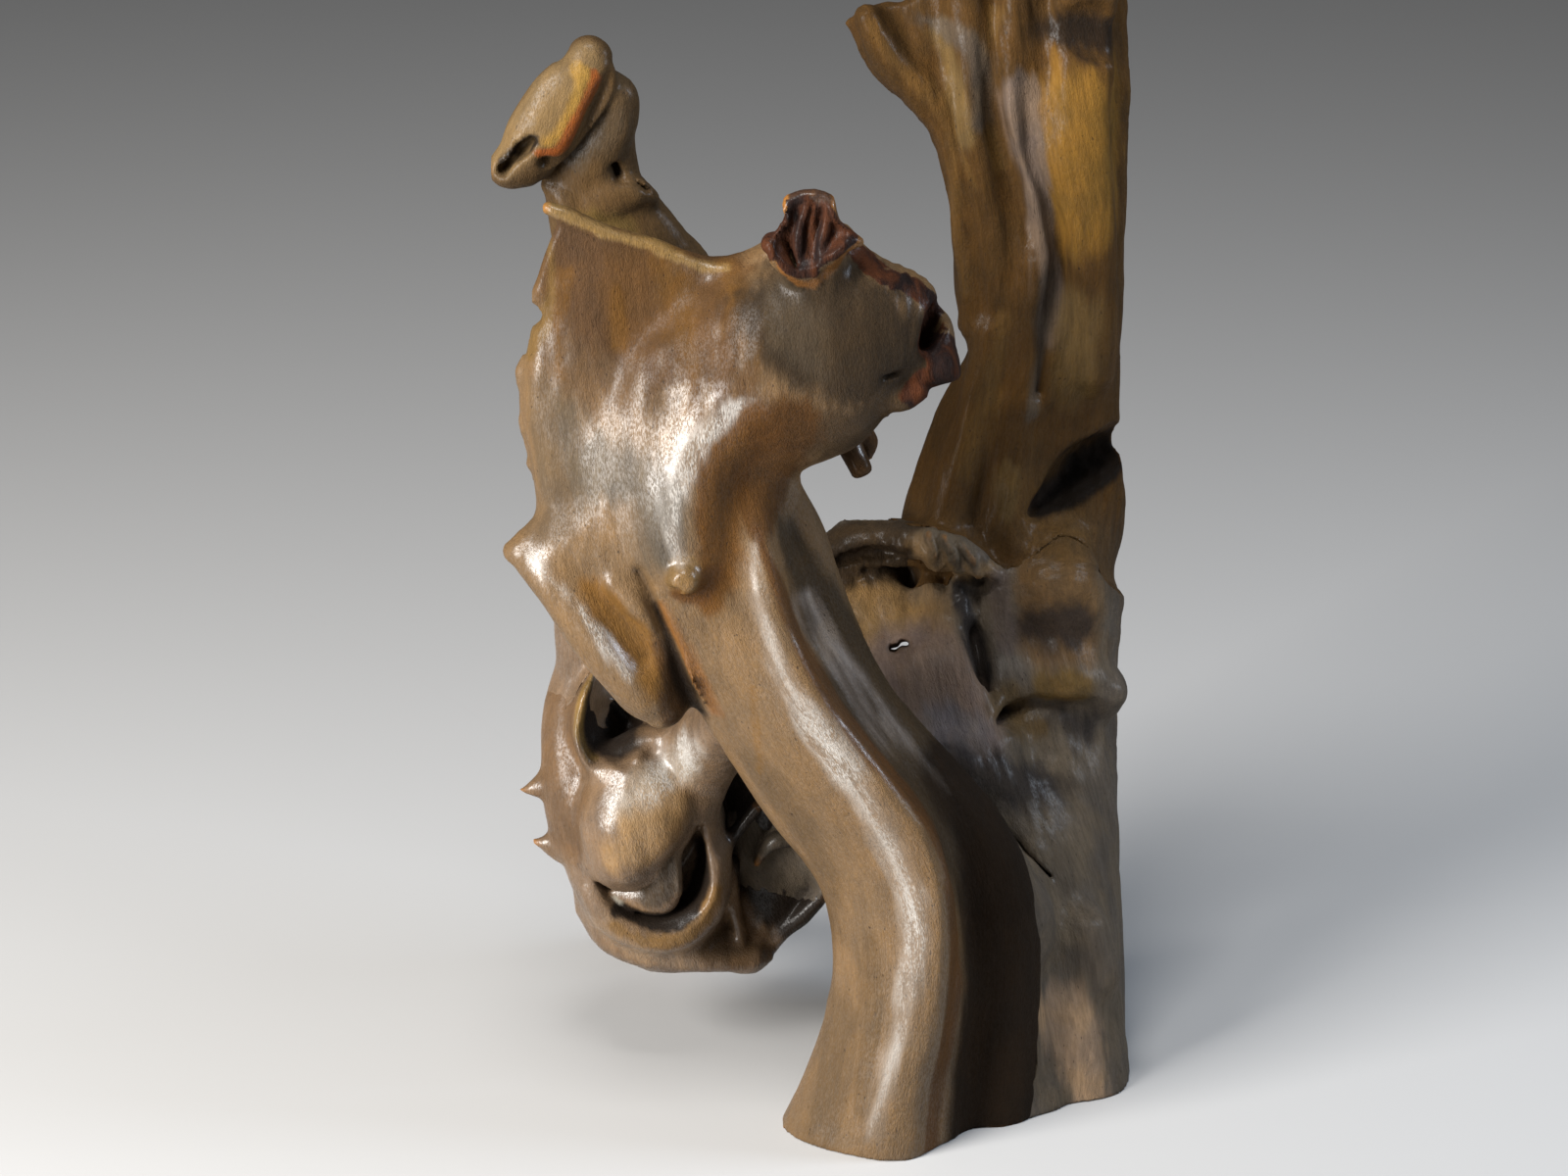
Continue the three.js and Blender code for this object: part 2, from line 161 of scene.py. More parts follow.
def grid_distance(limb, margin):
    """The limb's window of the grid and the distance at each of its corners: the nearest step of the
    path is found first, as the foot of the perpendicular kept between the step's two ends."""
    reach = limb.halves.max() + margin
    window = cells_near(limb.places, reach)
    shape = tuple(part.stop - part.start for part in window)
    nearest = np.full(shape, np.inf, np.float32)
    station = np.zeros(shape, np.float32)
    for step in range(len(limb.places) - 1):
        start = limb.places[step].astype(np.float32)
        along = (limb.places[step + 1] - limb.places[step]).astype(np.float32)
        near = cells_near(limb.places[step:step + 2], reach)
        inner = tuple(slice(n.start - w.start, n.stop - w.start) for n, w in zip(near, window))
        x, y, z = (grid_axes[axis][near[axis]] - start[axis] for axis in range(3))
        x, y, z = x[:, None, None], y[None, :, None], z[None, None, :]
        length = float(along @ along) + NEAR_ZERO
        foot = (x * along[0] + y * along[1] + z * along[2]) / length
        held = np.clip(foot, 0, 1)
        square = x * x + y * y + z * z + (held * held - 2 * held * foot) * length
        closer = square < nearest[inner]
        nearest[inner] = np.where(closer, square, nearest[inner])
        station[inner] = np.where(closer, step + held, station[inner])
    distance = np.full(shape, AIR, np.float32)
    within = np.nonzero(nearest < reach * reach)
    points = np.column_stack([grid_axes[axis][window[axis]][within[axis]] for axis in range(3)])
    distance[within] = limb.distance(points, station[within])
    return window, distance


def blended_least(one, other, blend):
    """The lesser of two distances, less (blend - their difference)^2 / (4 blend) where that is close."""
    closeness = np.maximum(blend - np.abs(one - other), 0) / blend
    return np.minimum(one, other) - closeness * closeness * (blend / 4)


class Branch:
    """One branch of the root: limbs grown together, less what is hollowed out of them."""

    def __init__(self):
        self.far = np.full(GRID_COUNT, AIR, np.float32)
        self.windows = []

    def grow(self, stations, blend, tip=None):
        """Adds a limb, with a fillet as wide as the blend."""
        window, distance = grid_distance(Limb(stations, tip), blend + 3 * CELL)
        self.far[window] = blended_least(self.far[window], distance, blend)
        self.windows.append(window)

    def carve(self, stations, blend, tip=None):
        """Takes a limb away, with an edge rounded as wide as the blend."""
        window, distance = grid_distance(Limb(stations, tip), blend + 3 * CELL)
        self.far[window] = -blended_least(-self.far[window], distance, blend)

    def grow_each(self, *limbs):
        """Adds limbs in order. Each is its stations, its blend and, where its ends are blunt, its tip."""
        for limb in limbs:
            self.grow(*limb)

    def carve_each(self, *limbs):
        """Takes limbs away in order. Each is its stations and its blend."""
        for limb in limbs:
            self.carve(*limb)

    def window(self):
        """The part of the grid that holds the whole branch."""
        return tuple(slice(min(w[axis].start for w in self.windows), max(w[axis].stop for w in self.windows))
                     for axis in range(3))


def read_grid(values, window, points):
    """Values of a window of the grid at points, in proportion between the eight corners round each."""
    low = np.array([grid_axes[axis][window[axis].start] for axis in range(3)])
    place = np.clip((points - low) / CELL, 0, np.array(values.shape) - 1.001)
    index = place.astype(int)
    share = place - index
    total = np.zeros(len(points))
    for corner in np.ndindex(2, 2, 2):
        weight = np.prod(np.where(corner, share, 1 - share), axis=1)
        total += weight * values[tuple((index + corner).T)]
    return total


def slope_at(values, window, points):
    """The direction in which the values of a window of the grid rise fastest at points, from the
    values a little more than half a cell each way along X, Y and Z."""
    steps = np.eye(3) * CELL * SLOPE_REACH
    rises = [read_grid(values, window, points + step) - read_grid(values, window, points - step)
             for step in steps]
    return unit(np.column_stack(rises))


def skin(own, window):
    """Vertices and quads of the surface where own changes sign: one vertex in each cell that it
    crosses, at the mean of the crossings of the cell's edges, and one quad round each crossed edge."""
    inside = own < 0
    inner = [slice(0, -1), slice(1, None)]
    count = np.zeros(np.array(own.shape) - 1, np.int8)
    for i, j, k in np.ndindex(2, 2, 2):
        count += inside[inner[i], inner[j], inner[k]]
    cells = np.stack(np.nonzero((count > 0) & (count < 8)), -1)
    number = np.full(count.shape, -1, np.int32)
    number[tuple(cells.T)] = np.arange(len(cells))
    total = np.zeros((len(cells), 3))
    crossings = np.zeros(len(cells))
    quads = []
    for axis in range(3):
        second, third = (axis + 1) % 3, (axis + 2) % 3
        for i, j in np.ndindex(2, 2):
            start = cells.copy()
            start[:, second] += i
            start[:, third] += j
            end = start.copy()
            end[:, axis] += 1
            from_value, to_value = own[tuple(start.T)], own[tuple(end.T)]
            crossed = (from_value < 0) != (to_value < 0)
            share = np.where(crossed, from_value / np.where(crossed, from_value - to_value, 1), 0)
            place = start.astype(float)
            place[:, axis] += share
            total += place * crossed[:, None]
            crossings += crossed
        before, after = [slice(None)] * 3, [slice(None)] * 3
        before[axis], after[axis] = inner
        goes_in, comes_out = inside[tuple(before)], inside[tuple(after)]
        edges = np.stack(np.nonzero(goes_in != comes_out), -1)
        held = (edges[:, [second, third]] > 0).all(1)
        edges = edges[held]
        leaves = goes_in[tuple(edges.T)]
        corners = []
        for back_second, back_third in ((1, 1), (0, 1), (0, 0), (1, 0)):
            cell = edges.copy()
            cell[:, second] -= back_second
            cell[:, third] -= back_third
            corners.append(number[tuple(cell.T)])
        quad = np.stack(corners, -1)
        quad[~leaves] = quad[~leaves][:, ::-1]
        quads.append(quad)
    low = np.array([grid_axes[axis][window[axis].start] for axis in range(3)])
    return total / crossings[:, None] * CELL + low, np.vstack(quads)


CORNER_PRIMES = np.array([73856093, 19349663, 83492791])
SEED_PRIME = 2654435761
MIXING_PRIME = 2246822519


def lattice_noise(places, size, seed):
    """Smooth noise from 0 to 1: a random value at each corner of a lattice of that size, blended
    between the corners by 3t^2 - 2t^3. The value is a hash of the corner and the seed: the sum of
    their products with large primes, with its bits folded, multiplied and folded again."""
    place = places / size
    base = np.floor(place).astype(np.int64)
    share = place - base
    share = share * share * (3 - 2 * share)
    total = np.zeros(len(places))
    for corner in np.ndindex(2, 2, 2):
        mixed = ((base + corner) * CORNER_PRIMES).sum(1) + seed * SEED_PRIME
        mixed = (mixed ^ (mixed >> 15)) * MIXING_PRIME & 0xFFFFFFFF
        mixed = (mixed ^ (mixed >> 13)) & 0xFFFF
        total += np.prod(np.where(corner, share, 1 - share), axis=1) * mixed / 0xFFFF
    return total


def box_mean(values, reach):
    """The mean of the values over a cube of cells that reaches that far each way, as three running
    sums, one along each axis."""
    for axis in range(3):
        padding = [(0, 0)] * 3
        padding[axis] = (reach + 1, reach)
        sums = np.cumsum(np.pad(values, padding, mode="edge"), axis=axis, dtype=np.float64)
        after = [slice(None)] * 3
        before = [slice(None)] * 3
        after[axis] = slice(2 * reach + 1, None)
        before[axis] = slice(0, -(2 * reach + 1))
        values = ((sums[tuple(after)] - sums[tuple(before)]) / (2 * reach + 1)).astype(np.float32)
    return values


def smooth_between(values, low, high):
    """0 below low, 1 above high, and 3t^2 - 2t^3 between them."""
    share = np.clip((values - low) / (high - low), 0, 1)
    return share * share * (3 - 2 * share)


def path_nearest(limb, points):
    """For each point, the number of the nearest path step with its fraction."""
    nearest = np.full(len(points), np.inf)
    station = np.zeros(len(points))
    for step in range(len(limb.places) - 1):
        along = limb.places[step + 1] - limb.places[step]
        offset = points - limb.places[step]
        held = np.clip(offset @ along / (along @ along + NEAR_ZERO), 0, 1)
        square = ((offset - held[:, None] * along) ** 2).sum(1)
        closer = square < nearest
        nearest = np.where(closer, square, nearest)
        station = np.where(closer, step + held, station)
    return station


def grain_places(points, spine):
    """The grain runs along the spine: each point's offset across it, its offset in depth, and how far
    along it lies."""
    station = path_nearest(spine, points)
    index = np.minimum(station.astype(int), len(spine.places) - 2)
    share = (station - index)[:, None]
    lengths = np.linalg.norm(np.diff(spine.places, axis=0), axis=1)
    travelled = np.concatenate([[0.0], np.cumsum(lengths)])

    def between(rows):
        return rows[index] * (1 - share) + rows[index + 1] * share

    offset = points - between(spine.places)
    overrun = (offset * between(spine.heading)).sum(1)
    along = travelled[index] + share[:, 0] * lengths[index] + overrun
    return np.column_stack([
        (offset * between(spine.wide_way)).sum(1), (offset * between(spine.deep_way)).sum(1), along])


THIN_REACH = 3.5
SUNK_REACH = 9.0
DEEPEST_COUNTED = 8.0
ON_THE_OUTSIDE = 0.4


class Surface:
    """The finished surface of one branch, with its grain and its stains."""

    def __init__(self, branch, fork, spine, ground):
        """Joins the branch to the wood with a fillet as wide as the fork, and skins what is its own:
        where it is nearer than the older wood, or farther by less than the fork. Each vertex then
        moves twice by its depth along the slope. Thin is the mean air close round a vertex, and sunk
        the mean wood farther round it."""
        window = branch.window()
        before = wood[window]
        joined = blended_least(before, branch.far[window], fork)
        own = np.maximum(joined, (branch.far[window] - before - fork) / 2)
        wood[window] = joined
        floor_way = -grid_axes[2][window[2]][None, None, :]
        own = np.maximum(own, floor_way)
        cut = np.maximum(joined, floor_way)
        points, self.quads = skin(own, window)
        for _ in range(2):
            depth = read_grid(cut, window, points)
            outer = np.abs(depth) < CELL
            step = np.clip(depth, -CELL / 2, CELL / 2)[:, None] * slope_at(cut, window, points)
            points = points - np.where(outer[:, None], step, 0)
        self.outward = slope_at(cut, window, points)
        self.outer = np.abs(read_grid(cut, window, points)) < CELL * ON_THE_OUTSIDE
        capped = np.clip(cut, -DEEPEST_COUNTED, DEEPEST_COUNTED)
        close = box_mean(capped, max(1, round(THIN_REACH / CELL)))
        wide = box_mean(capped, max(1, round(SUNK_REACH / CELL)))
        self.thin = read_grid(close, window, points) / THIN_REACH
        self.sunk = -read_grid(wide, window, points) / SUNK_REACH
        self.points = points
        self.grain = grain_places(points, Limb([[*place[:3], 1, 1] for place in spine]))
        self.tone = np.tile(np.array(ground, float), (len(points), 1))
        self.torn = np.zeros(len(points))

    def raise_by(self, heights):
        """Moves the surface out along its own direction by so many millimetres."""
        self.points = self.points + self.outward * (heights * self.outer)[:, None]

    def cover(self, stations, feather, wander, seed):
        """How much of a stain lies at each vertex: 1 inside the limb through the stations, fading to 0
        over the feather times its mean thinner half, with an edge that wanders so many millimetres."""
        limb = Limb(stations)
        reach = limb.halves.max() * (1 + feather) + wander
        low, high = limb.places.min(0) - reach, limb.places.max(0) + reach
        near = np.nonzero(((self.points > low) & (self.points < high)).all(1))[0]
        amount = np.zeros(len(self.points))
        if len(near):
            points = self.points[near]
            streaks = self.grain[near] * np.array([1.0, 1.0, 0.16])
            wobble = lattice_noise(streaks, 7.0, seed) + 0.8 * lattice_noise(streaks, 2.6, seed + 1) - 0.9
            distance = limb.distance(points, path_nearest(limb, points)) + wander * wobble
            width = max(feather * limb.halves.min(1).mean(), 0.5)
            amount[near] = 1 - smooth_between(distance, -width / 2, width / 2)
        return amount

    def stain(self, colour, stations, amount=1.0, feather=0.6, wander=4.0, seed=0):
        """Stains the wood inside a limb through the stations. A colour is red, green, blue and polish,
        which is 0 for dull, 0.5 for varnished and 1 for rubbed pale; above 0.5 it also paints a pale
        highlight."""
        cover = amount * self.cover(stations, feather, wander, seed)[:, None]
        self.tone = self.tone * (1 - cover) + np.array(colour, float) * cover

    def stain_each(self, *stains):
        """Stains in order. Each is its colour, stations, amount, feather, wander and seed."""
        for stain in stains:
            self.stain(*stain)

    def rub_and_paint_highlight(self, stations, amount=1.0, feather=1.0, wander=3.0, seed=0):
        """Rubs a crest pale and smooth, as wear and as a painted highlight, and leaves its colour."""
        cover = amount * self.cover(stations, feather, wander, seed)
        self.tone[:, 3] += (1 - self.tone[:, 3]) * cover

    def tear(self, stations, feather=0.3, wander=2.0, seed=0):
        """Marks wood that broke off and was left rough."""
        cover = self.cover(stations, feather, wander, seed)
        self.torn = np.maximum(self.torn, cover)
        self.tone[:, 3] *= 1 - 0.8 * cover


def mesh_of(name, surface):
    """A mesh of the surface, kept inside the frame's box. The faces that lie within the wood are flat."""
    places = (surface.points + SHEET_TO_FRAME) * MILLIMETRE
    places = np.clip(places, np.array(cad_low), np.array(cad_high))
    mesh = bpy.data.meshes.new(name)
    mesh.vertices.add(len(places))
    mesh.vertices.foreach_set("co", places.astype(np.float32).ravel())
    mesh.loops.add(4 * len(surface.quads))
    mesh.loops.foreach_set("vertex_index", surface.quads.astype(np.int32).ravel())
    mesh.polygons.add(len(surface.quads))
    mesh.polygons.foreach_set("loop_start", np.arange(0, 4 * len(surface.quads), 4, dtype=np.int32))
    mesh.update(calc_edges=True)
    outer_quads = surface.outer[surface.quads].sum(1) >= 2
    mesh.polygons.foreach_set("use_smooth", outer_quads)
    wear = np.column_stack([surface.thin, surface.sunk, surface.torn])
    for title, values in (("grain", surface.grain * MILLIMETRE), ("wear", wear)):
        layer = mesh.attributes.new(title, "FLOAT_VECTOR", "POINT")
        layer.data.foreach_set("vector", values.astype(np.float32).ravel())
    layer = mesh.attributes.new("tone", "FLOAT_COLOR", "POINT")
    layer.data.foreach_set("color", surface.tone.astype(np.float32).ravel())
    return mesh


def piece_of(name, surface, material):
    """The branch as an object that stands for the CAD node of the same name."""
    piece = bpy.data.objects.new(name + "_wood", mesh_of(name, surface))
    bpy.context.scene.collection.objects.link(piece)
    piece.data.materials.append(material)
    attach(piece, "root")
    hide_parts(name)
    return piece


BROAD_SWELL = 18.0
SMALL_SWELL = 8.0
FACET = 4.5
BROAD_FURROW = 3.0
FINE_FURROW = 1.7
FURROW_PATCH = 40.0


def relief(surface, seed, swell, furrow):
    """Heights in millimetres: broad and small swells, the carver's facets, and broad and fine furrows
    along the grain, which come and go from patch to patch. Each is lattice noise about its mean."""
    stretched = surface.grain * np.array([1.0, 1.0, 0.4])
    swells = lattice_noise(stretched, BROAD_SWELL, seed)
    swells = swells + 0.5 * lattice_noise(stretched, SMALL_SWELL, seed + 3) - 0.75
    fine = surface.grain * np.array([1.0, 1.0, 0.14])
    furrows = lattice_noise(fine, BROAD_FURROW, seed + 5)
    furrows = furrows + 0.6 * lattice_noise(fine, FINE_FURROW, seed + 7) - 0.8
    comes_and_goes = smooth_between(lattice_noise(surface.points, FURROW_PATCH, seed + 9), 0.35, 0.65)
    facets = lattice_noise(surface.grain * np.array([1.0, 1.0, 0.6]), FACET, seed + 11) - 0.5
    return swell * swells + 0.35 * facets + furrow * furrows * (0.35 + 0.65 * comes_and_goes)


def add_node(tree, kind, settings=None, **inputs):
    """A shader node with its settings made and its inputs set or linked. An underscore stands for a
    space in an input's name."""
    node = tree.nodes.new(kind)
    for key, value in (settings or {}).items():
        setattr(node, key, value)
    for key, value in inputs.items():
        join(tree, node.inputs[key.replace("_", " ")], value)
    return node


def join(tree, socket, value):
    """Links a socket to another node's output, or gives it a fixed value."""
    if isinstance(value, bpy.types.NodeSocket):
        tree.links.new(value, socket)
    else:
        socket.default_value = value


def arithmetic(tree, operation, first, second=0.0, held=False):
    """One Math node's output, held between 0 and 1 where that is asked for."""
    node = add_node(tree, "ShaderNodeMath", {"operation": operation, "use_clamp": held})
    join(tree, node.inputs[0], first)
    join(tree, node.inputs[1], second)
    return node.outputs[0]


def colour_mix(tree, share, first, second, blend="MIX"):
    """One colour Mix node's output. Its colours are the node's inputs 6 and 7 and its output 2."""
    node = add_node(tree, "ShaderNodeMix", {"data_type": "RGBA", "blend_type": blend, "clamp_factor": True})
    join(tree, node.inputs["Factor"], share)
    join(tree, node.inputs[6], first)
    join(tree, node.inputs[7], second)
    return node.outputs[2]


def ramp(tree, value, low, high, bottom=0.0, top=1.0):
    """A value stretched from low-high to bottom-top, and held there."""
    node = add_node(tree, "ShaderNodeMapRange", {"clamp": True, "interpolation_type": "SMOOTHSTEP"},
                    Value=value, From_Min=low, From_Max=high, To_Min=bottom, To_Max=top)
    return node.outputs[0]


def stretched_noise(tree, vector, scale, detail=2.0, distortion=0.0):
    """Noise whose grains are as long along each axis as the scale is small there."""
    mapping = add_node(tree, "ShaderNodeMapping", Vector=vector, Scale=scale)
    node = add_node(tree, "ShaderNodeTexNoise", Vector=mapping.outputs[0], Scale=1.0, Detail=detail,
                    Roughness=0.55, Distortion=distortion)
    return node.outputs["Fac"]


def group_of(name, inputs, outputs):
    """A new shader node group with named sockets, and its input and output nodes."""
    tree = bpy.data.node_groups.new(name, "ShaderNodeTree")
    for title, kind, value in inputs:
        socket = tree.interface.new_socket(title, in_out="INPUT", socket_type=kind)
        if value is not None:
            socket.default_value = value
    for title, kind in outputs:
        tree.interface.new_socket(title, in_out="OUTPUT", socket_type=kind)
    return tree, tree.nodes.new("NodeGroupInput"), tree.nodes.new("NodeGroupOutput")


def root_grain_group():
    """The figure of the wood, from its grain places: hairlines, wider bands, blotches, pores, the
    short scratches that the rubbing left, and the carver's small dents."""
    tree, given, made = group_of(
        "root_grain",
        [("Grain", "NodeSocketVector", None), ("Place", "NodeSocketVector", None)],
        [("Hairlines", "NodeSocketFloat"), ("Bands", "NodeSocketFloat"), ("Blotches", "NodeSocketFloat"),
         ("Pores", "NodeSocketFloat"), ("Scratches", "NodeSocketFloat"), ("Dents", "NodeSocketFloat")])
    grain, place = given.outputs["Grain"], given.outputs["Place"]
    hairlines = stretched_noise(tree, grain, (650.0, 650.0, 60.0), 3.0, 0.25)
    bands = stretched_noise(tree, grain, (90.0, 90.0, 18.0), 4.0, 0.8)
    blotches = stretched_noise(tree, place, (42.0, 42.0, 30.0), 3.0, 0.4)
    pores = stretched_noise(tree, grain, (800.0, 800.0, 300.0), 1.0)
    scratches = stretched_noise(tree, grain, (1400.0, 1400.0, 420.0), 5.0, 0.4)
    dents = stretched_noise(tree, grain, (230.0, 230.0, 120.0), 3.0, 0.3)
    join(tree, made.inputs["Dents"], ramp(tree, dents, 0.25, 0.75))
    join(tree, made.inputs["Hairlines"], ramp(tree, hairlines, 0.32, 0.68))
    join(tree, made.inputs["Bands"], ramp(tree, bands, 0.34, 0.66))
    join(tree, made.inputs["Blotches"], ramp(tree, blotches, 0.36, 0.64))
    join(tree, made.inputs["Pores"], ramp(tree, pores, 0.71, 0.78))
    join(tree, made.inputs["Scratches"], ramp(tree, scratches, 0.36, 0.64))
    return tree


def root_finish_group():
    """Stain, wear and varnish: the tone is warmed and cooled by the blotches and shaded by the lines,
    thin edges show bare ochre wood, sunk places keep dark stain, rubbed crests are scuffed pale in
    patches, which also paints highlights on them, and torn wood is dark and rough. Polish makes the
    surface glossier and its film of varnish thicker, and hollows and scratches take both away."""
    tree, given, made = group_of(
        "root_finish",
        [("Tone", "NodeSocketColor", None), ("Polish", "NodeSocketFloat", 0.5),
         ("Wear", "NodeSocketVector", None),
         ("Hairlines", "NodeSocketFloat", 0.5), ("Bands", "NodeSocketFloat", 0.5),
         ("Blotches", "NodeSocketFloat", 0.5), ("Pores", "NodeSocketFloat", 0.0),
         ("Scratches", "NodeSocketFloat", 0.5), ("Dents", "NodeSocketFloat", 0.5),
         ("Rub and highlight", "NodeSocketColor", (0.33, 0.31, 0.285, 1.0)),
         ("Warm", "NodeSocketColor", (1.18, 1.06, 0.8, 1.0)),
         ("Cool", "NodeSocketColor", (0.8, 0.78, 0.74, 1.0)),
         ("Edge", "NodeSocketColor", (0.22, 0.09, 0.016, 1.0)),
         ("Deep", "NodeSocketColor", (0.012, 0.006, 0.003, 1.0)),
         ("Figure", "NodeSocketFloat", 0.5), ("Lines", "NodeSocketFloat", 0.4),
         ("Relief", "NodeSocketFloat", 1.0)],
        [("Colour", "NodeSocketColor"), ("Roughness", "NodeSocketFloat"), ("Varnish", "NodeSocketFloat"),
         ("Height", "NodeSocketFloat")])
    value = given.outputs
    wear = add_node(tree, "ShaderNodeSeparateXYZ", Vector=value["Wear"])
    thin, sunk, torn = wear.outputs
    toning = colour_mix(tree, value["Blotches"], value["Cool"], value["Warm"])
    toned = colour_mix(tree, value["Figure"], value["Tone"],
                       colour_mix(tree, 1.0, value["Tone"], toning, "MULTIPLY"))
    lines = arithmetic(tree, "SUBTRACT", arithmetic(tree, "ADD", value["Hairlines"], value["Bands"]), 1.0)
    shade = arithmetic(tree, "ADD", 1.0, arithmetic(tree, "MULTIPLY", lines, value["Lines"]))
    shades = add_node(tree, "ShaderNodeCombineXYZ", X=shade, Y=shade, Z=shade)
    lined = colour_mix(tree, 1.0, toned, shades.outputs[0], "MULTIPLY")
    banded = arithmetic(tree, "ADD", thin, arithmetic(tree, "MULTIPLY", value["Bands"], 0.12))
    bare = ramp(tree, banded, 0.34, 0.66)
    edged = colour_mix(tree, arithmetic(tree, "MULTIPLY", bare, 0.85), lined, value["Edge"])
    hollow = ramp(tree, sunk, 0.1, 0.42)
    darkened = colour_mix(tree, arithmetic(tree, "MULTIPLY", hollow, 0.92), edged, value["Deep"])
    pored = colour_mix(tree, arithmetic(tree, "MULTIPLY", value["Pores"], 0.7), darkened, value["Deep"])
    broken = colour_mix(tree, value["Bands"], (0.007, 0.003, 0.0025, 1.0), (0.048, 0.014, 0.004, 1.0))
    frayed = arithmetic(tree, "ADD", torn, arithmetic(tree, "MULTIPLY", value["Hairlines"], 0.25))
    patches = arithmetic(tree, "MULTIPLY", arithmetic(tree, "ADD", value["Scratches"], value["Bands"]), 0.5)
    # Pale rub where the polish is high: wear, and a painted highlight.
    rub_and_highlight_share = arithmetic(tree, "MULTIPLY", ramp(tree, value["Polish"], 0.5, 1.0),
                        ramp(tree, patches, 0.2, 0.85, 0.12, 1.0))
    rubbed_and_highlit = colour_mix(tree, rub_and_highlight_share, pored, value["Rub and highlight"])
    join(tree, made.inputs["Colour"], colour_mix(tree, ramp(tree, frayed, 0.35, 0.75), rubbed_and_highlit, broken))
    clear = arithmetic(tree, "SUBTRACT", 1.0, hollow)
    polish = arithmetic(tree, "MULTIPLY", value["Polish"], clear)
    rough = arithmetic(tree, "MULTIPLY", value["Scratches"], 0.12)
    gloss = ramp(tree, polish, 0.0, 0.7, 0.8, 0.36)
    join(tree, made.inputs["Roughness"], arithmetic(tree, "ADD", gloss, rough))
    film = arithmetic(tree, "SUBTRACT", 1.5, arithmetic(tree, "MULTIPLY", value["Scratches"], 1.3))
    join(tree, made.inputs["Varnish"], arithmetic(tree, "MULTIPLY", polish, film, True))
    height = arithmetic(tree, "MULTIPLY", value["Hairlines"], 0.5)
    height = arithmetic(tree, "ADD", value["Scratches"], height)
    splinters = arithmetic(tree, "MULTIPLY", arithmetic(tree, "MULTIPLY", torn, value["Bands"]), 6.0)
    height = arithmetic(tree, "ADD", height, splinters)
    height = arithmetic(tree, "ADD", height, arithmetic(tree, "MULTIPLY", value["Dents"], 1.2))
    height = arithmetic(tree, "SUBTRACT", height, arithmetic(tree, "MULTIPLY", value["Pores"], 1.5))
    join(tree, made.inputs["Height"], arithmetic(tree, "MULTIPLY", height, value["Relief"]))
    return tree


root_grain = root_grain_group()
root_finish = root_finish_group()


def varnished_wood(name, finish):
    """A material of stained and varnished root wood, whose own values go to the finish group."""
    material = bpy.data.materials.new(name)
    material.use_nodes = True
    tree = material.node_tree
    shader = tree.nodes["Principled BSDF"]
    grain = add_node(tree, "ShaderNodeAttribute", {"attribute_name": "grain"})
    wear = add_node(tree, "ShaderNodeAttribute", {"attribute_name": "wear"})
    tone = add_node(tree, "ShaderNodeAttribute", {"attribute_name": "tone"})
    place = add_node(tree, "ShaderNodeTexCoord")
    figure = add_node(tree, "ShaderNodeGroup", {"node_tree": root_grain},
                      Grain=grain.outputs["Vector"], Place=place.outputs["Object"])
    surface = add_node(tree, "ShaderNodeGroup", {"node_tree": root_finish},
                       Tone=tone.outputs["Color"], Polish=tone.outputs["Alpha"], Wear=wear.outputs["Vector"],
                       **finish)
    for title in ("Hairlines", "Bands", "Blotches", "Pores", "Scratches", "Dents"):
        tree.links.new(figure.outputs[title], surface.inputs[title])
    lift = add_node(tree, "ShaderNodeBump", Strength=0.55, Distance=0.0006, Height=surface.outputs["Height"])
    join(tree, shader.inputs["Base Color"], surface.outputs["Colour"])
    join(tree, shader.inputs["Roughness"], surface.outputs["Roughness"])
    join(tree, shader.inputs["Coat Weight"], surface.outputs["Varnish"])
    join(tree, shader.inputs["Normal"], lift.outputs[0])
    shader.inputs["Coat Roughness"].default_value = 0.3
    shader.inputs["Coat IOR"].default_value = 1.7
    shader.inputs["Specular IOR Level"].default_value = 0.12
    return material


# Stains, as red, green, blue and polish. Polish is 0 for dull, 0.5 for varnished, 1 for rubbed pale;
# above 0.5 it also paints a pale highlight.
BEIGE = (0.112, 0.069, 0.033, 0.36)
OCHRE = (0.05, 0.0245, 0.008, 0.03)
GOLD = (0.135, 0.084, 0.028, 0.3)
YELLOW_OCHRE = (0.08, 0.037, 0.005, 0.05)
OLIVE = (0.0165, 0.0103, 0.0049, 0.07)
PURPLE_BROWN = (0.046, 0.026, 0.014, 0.06)
RED_BROWN = (0.07, 0.029, 0.006, 0.14)
# Near black, painted shade for creases, pits, pockets and hollows.
SHADE_BLACK = (0.006, 0.0035, 0.002, 0.1)
ORANGE = (0.14, 0.056, 0.01, 0.3)

trunk = Branch()
torso = [[-24, -25, 26, 32, 24], [-36, 0, 26, 44, 24], [-51, 30, 26, 54, 23], [-58, 60, 29, 62, 20],
         [-61, 90, 32, 66, 16], [-63, 120, 35, 60, 12], [-66, 145, 37, 56, 8], [-68, 158, 38, 52, 6]]
torso_ridge = [[0, 112, 14, 14, 12], [-17, 101, 12, 18, 15], [-34, 84, 11, 20, 17], [-46, 64, 9, 20, 17],
               [-51, 44, 8, 20, 16], [-52, 24, 9, 19, 15], [-49, 2, 15, 16, 13]]
torso_left = [[-97, 155, 38, 10, 5], [-102, 115, 35, 16, 7], [-104, 85, 32, 19, 9], [-100, 55, 29, 22, 11],
              [-90, 20, 25, 25, 11]]
torso_slope = [[-60, 112, 26, 14, 12], [-68, 90, 21, 15, 13], [-74, 64, 18, 16, 12], [-76, 40, 17, 16, 11],
               [-72, 16, 19, 15, 11], [-66, -4, 24, 13, 10]]
trunk.grow_each((torso, 12), (torso_slope, 18), (torso_ridge, 18), (torso_left, 16))

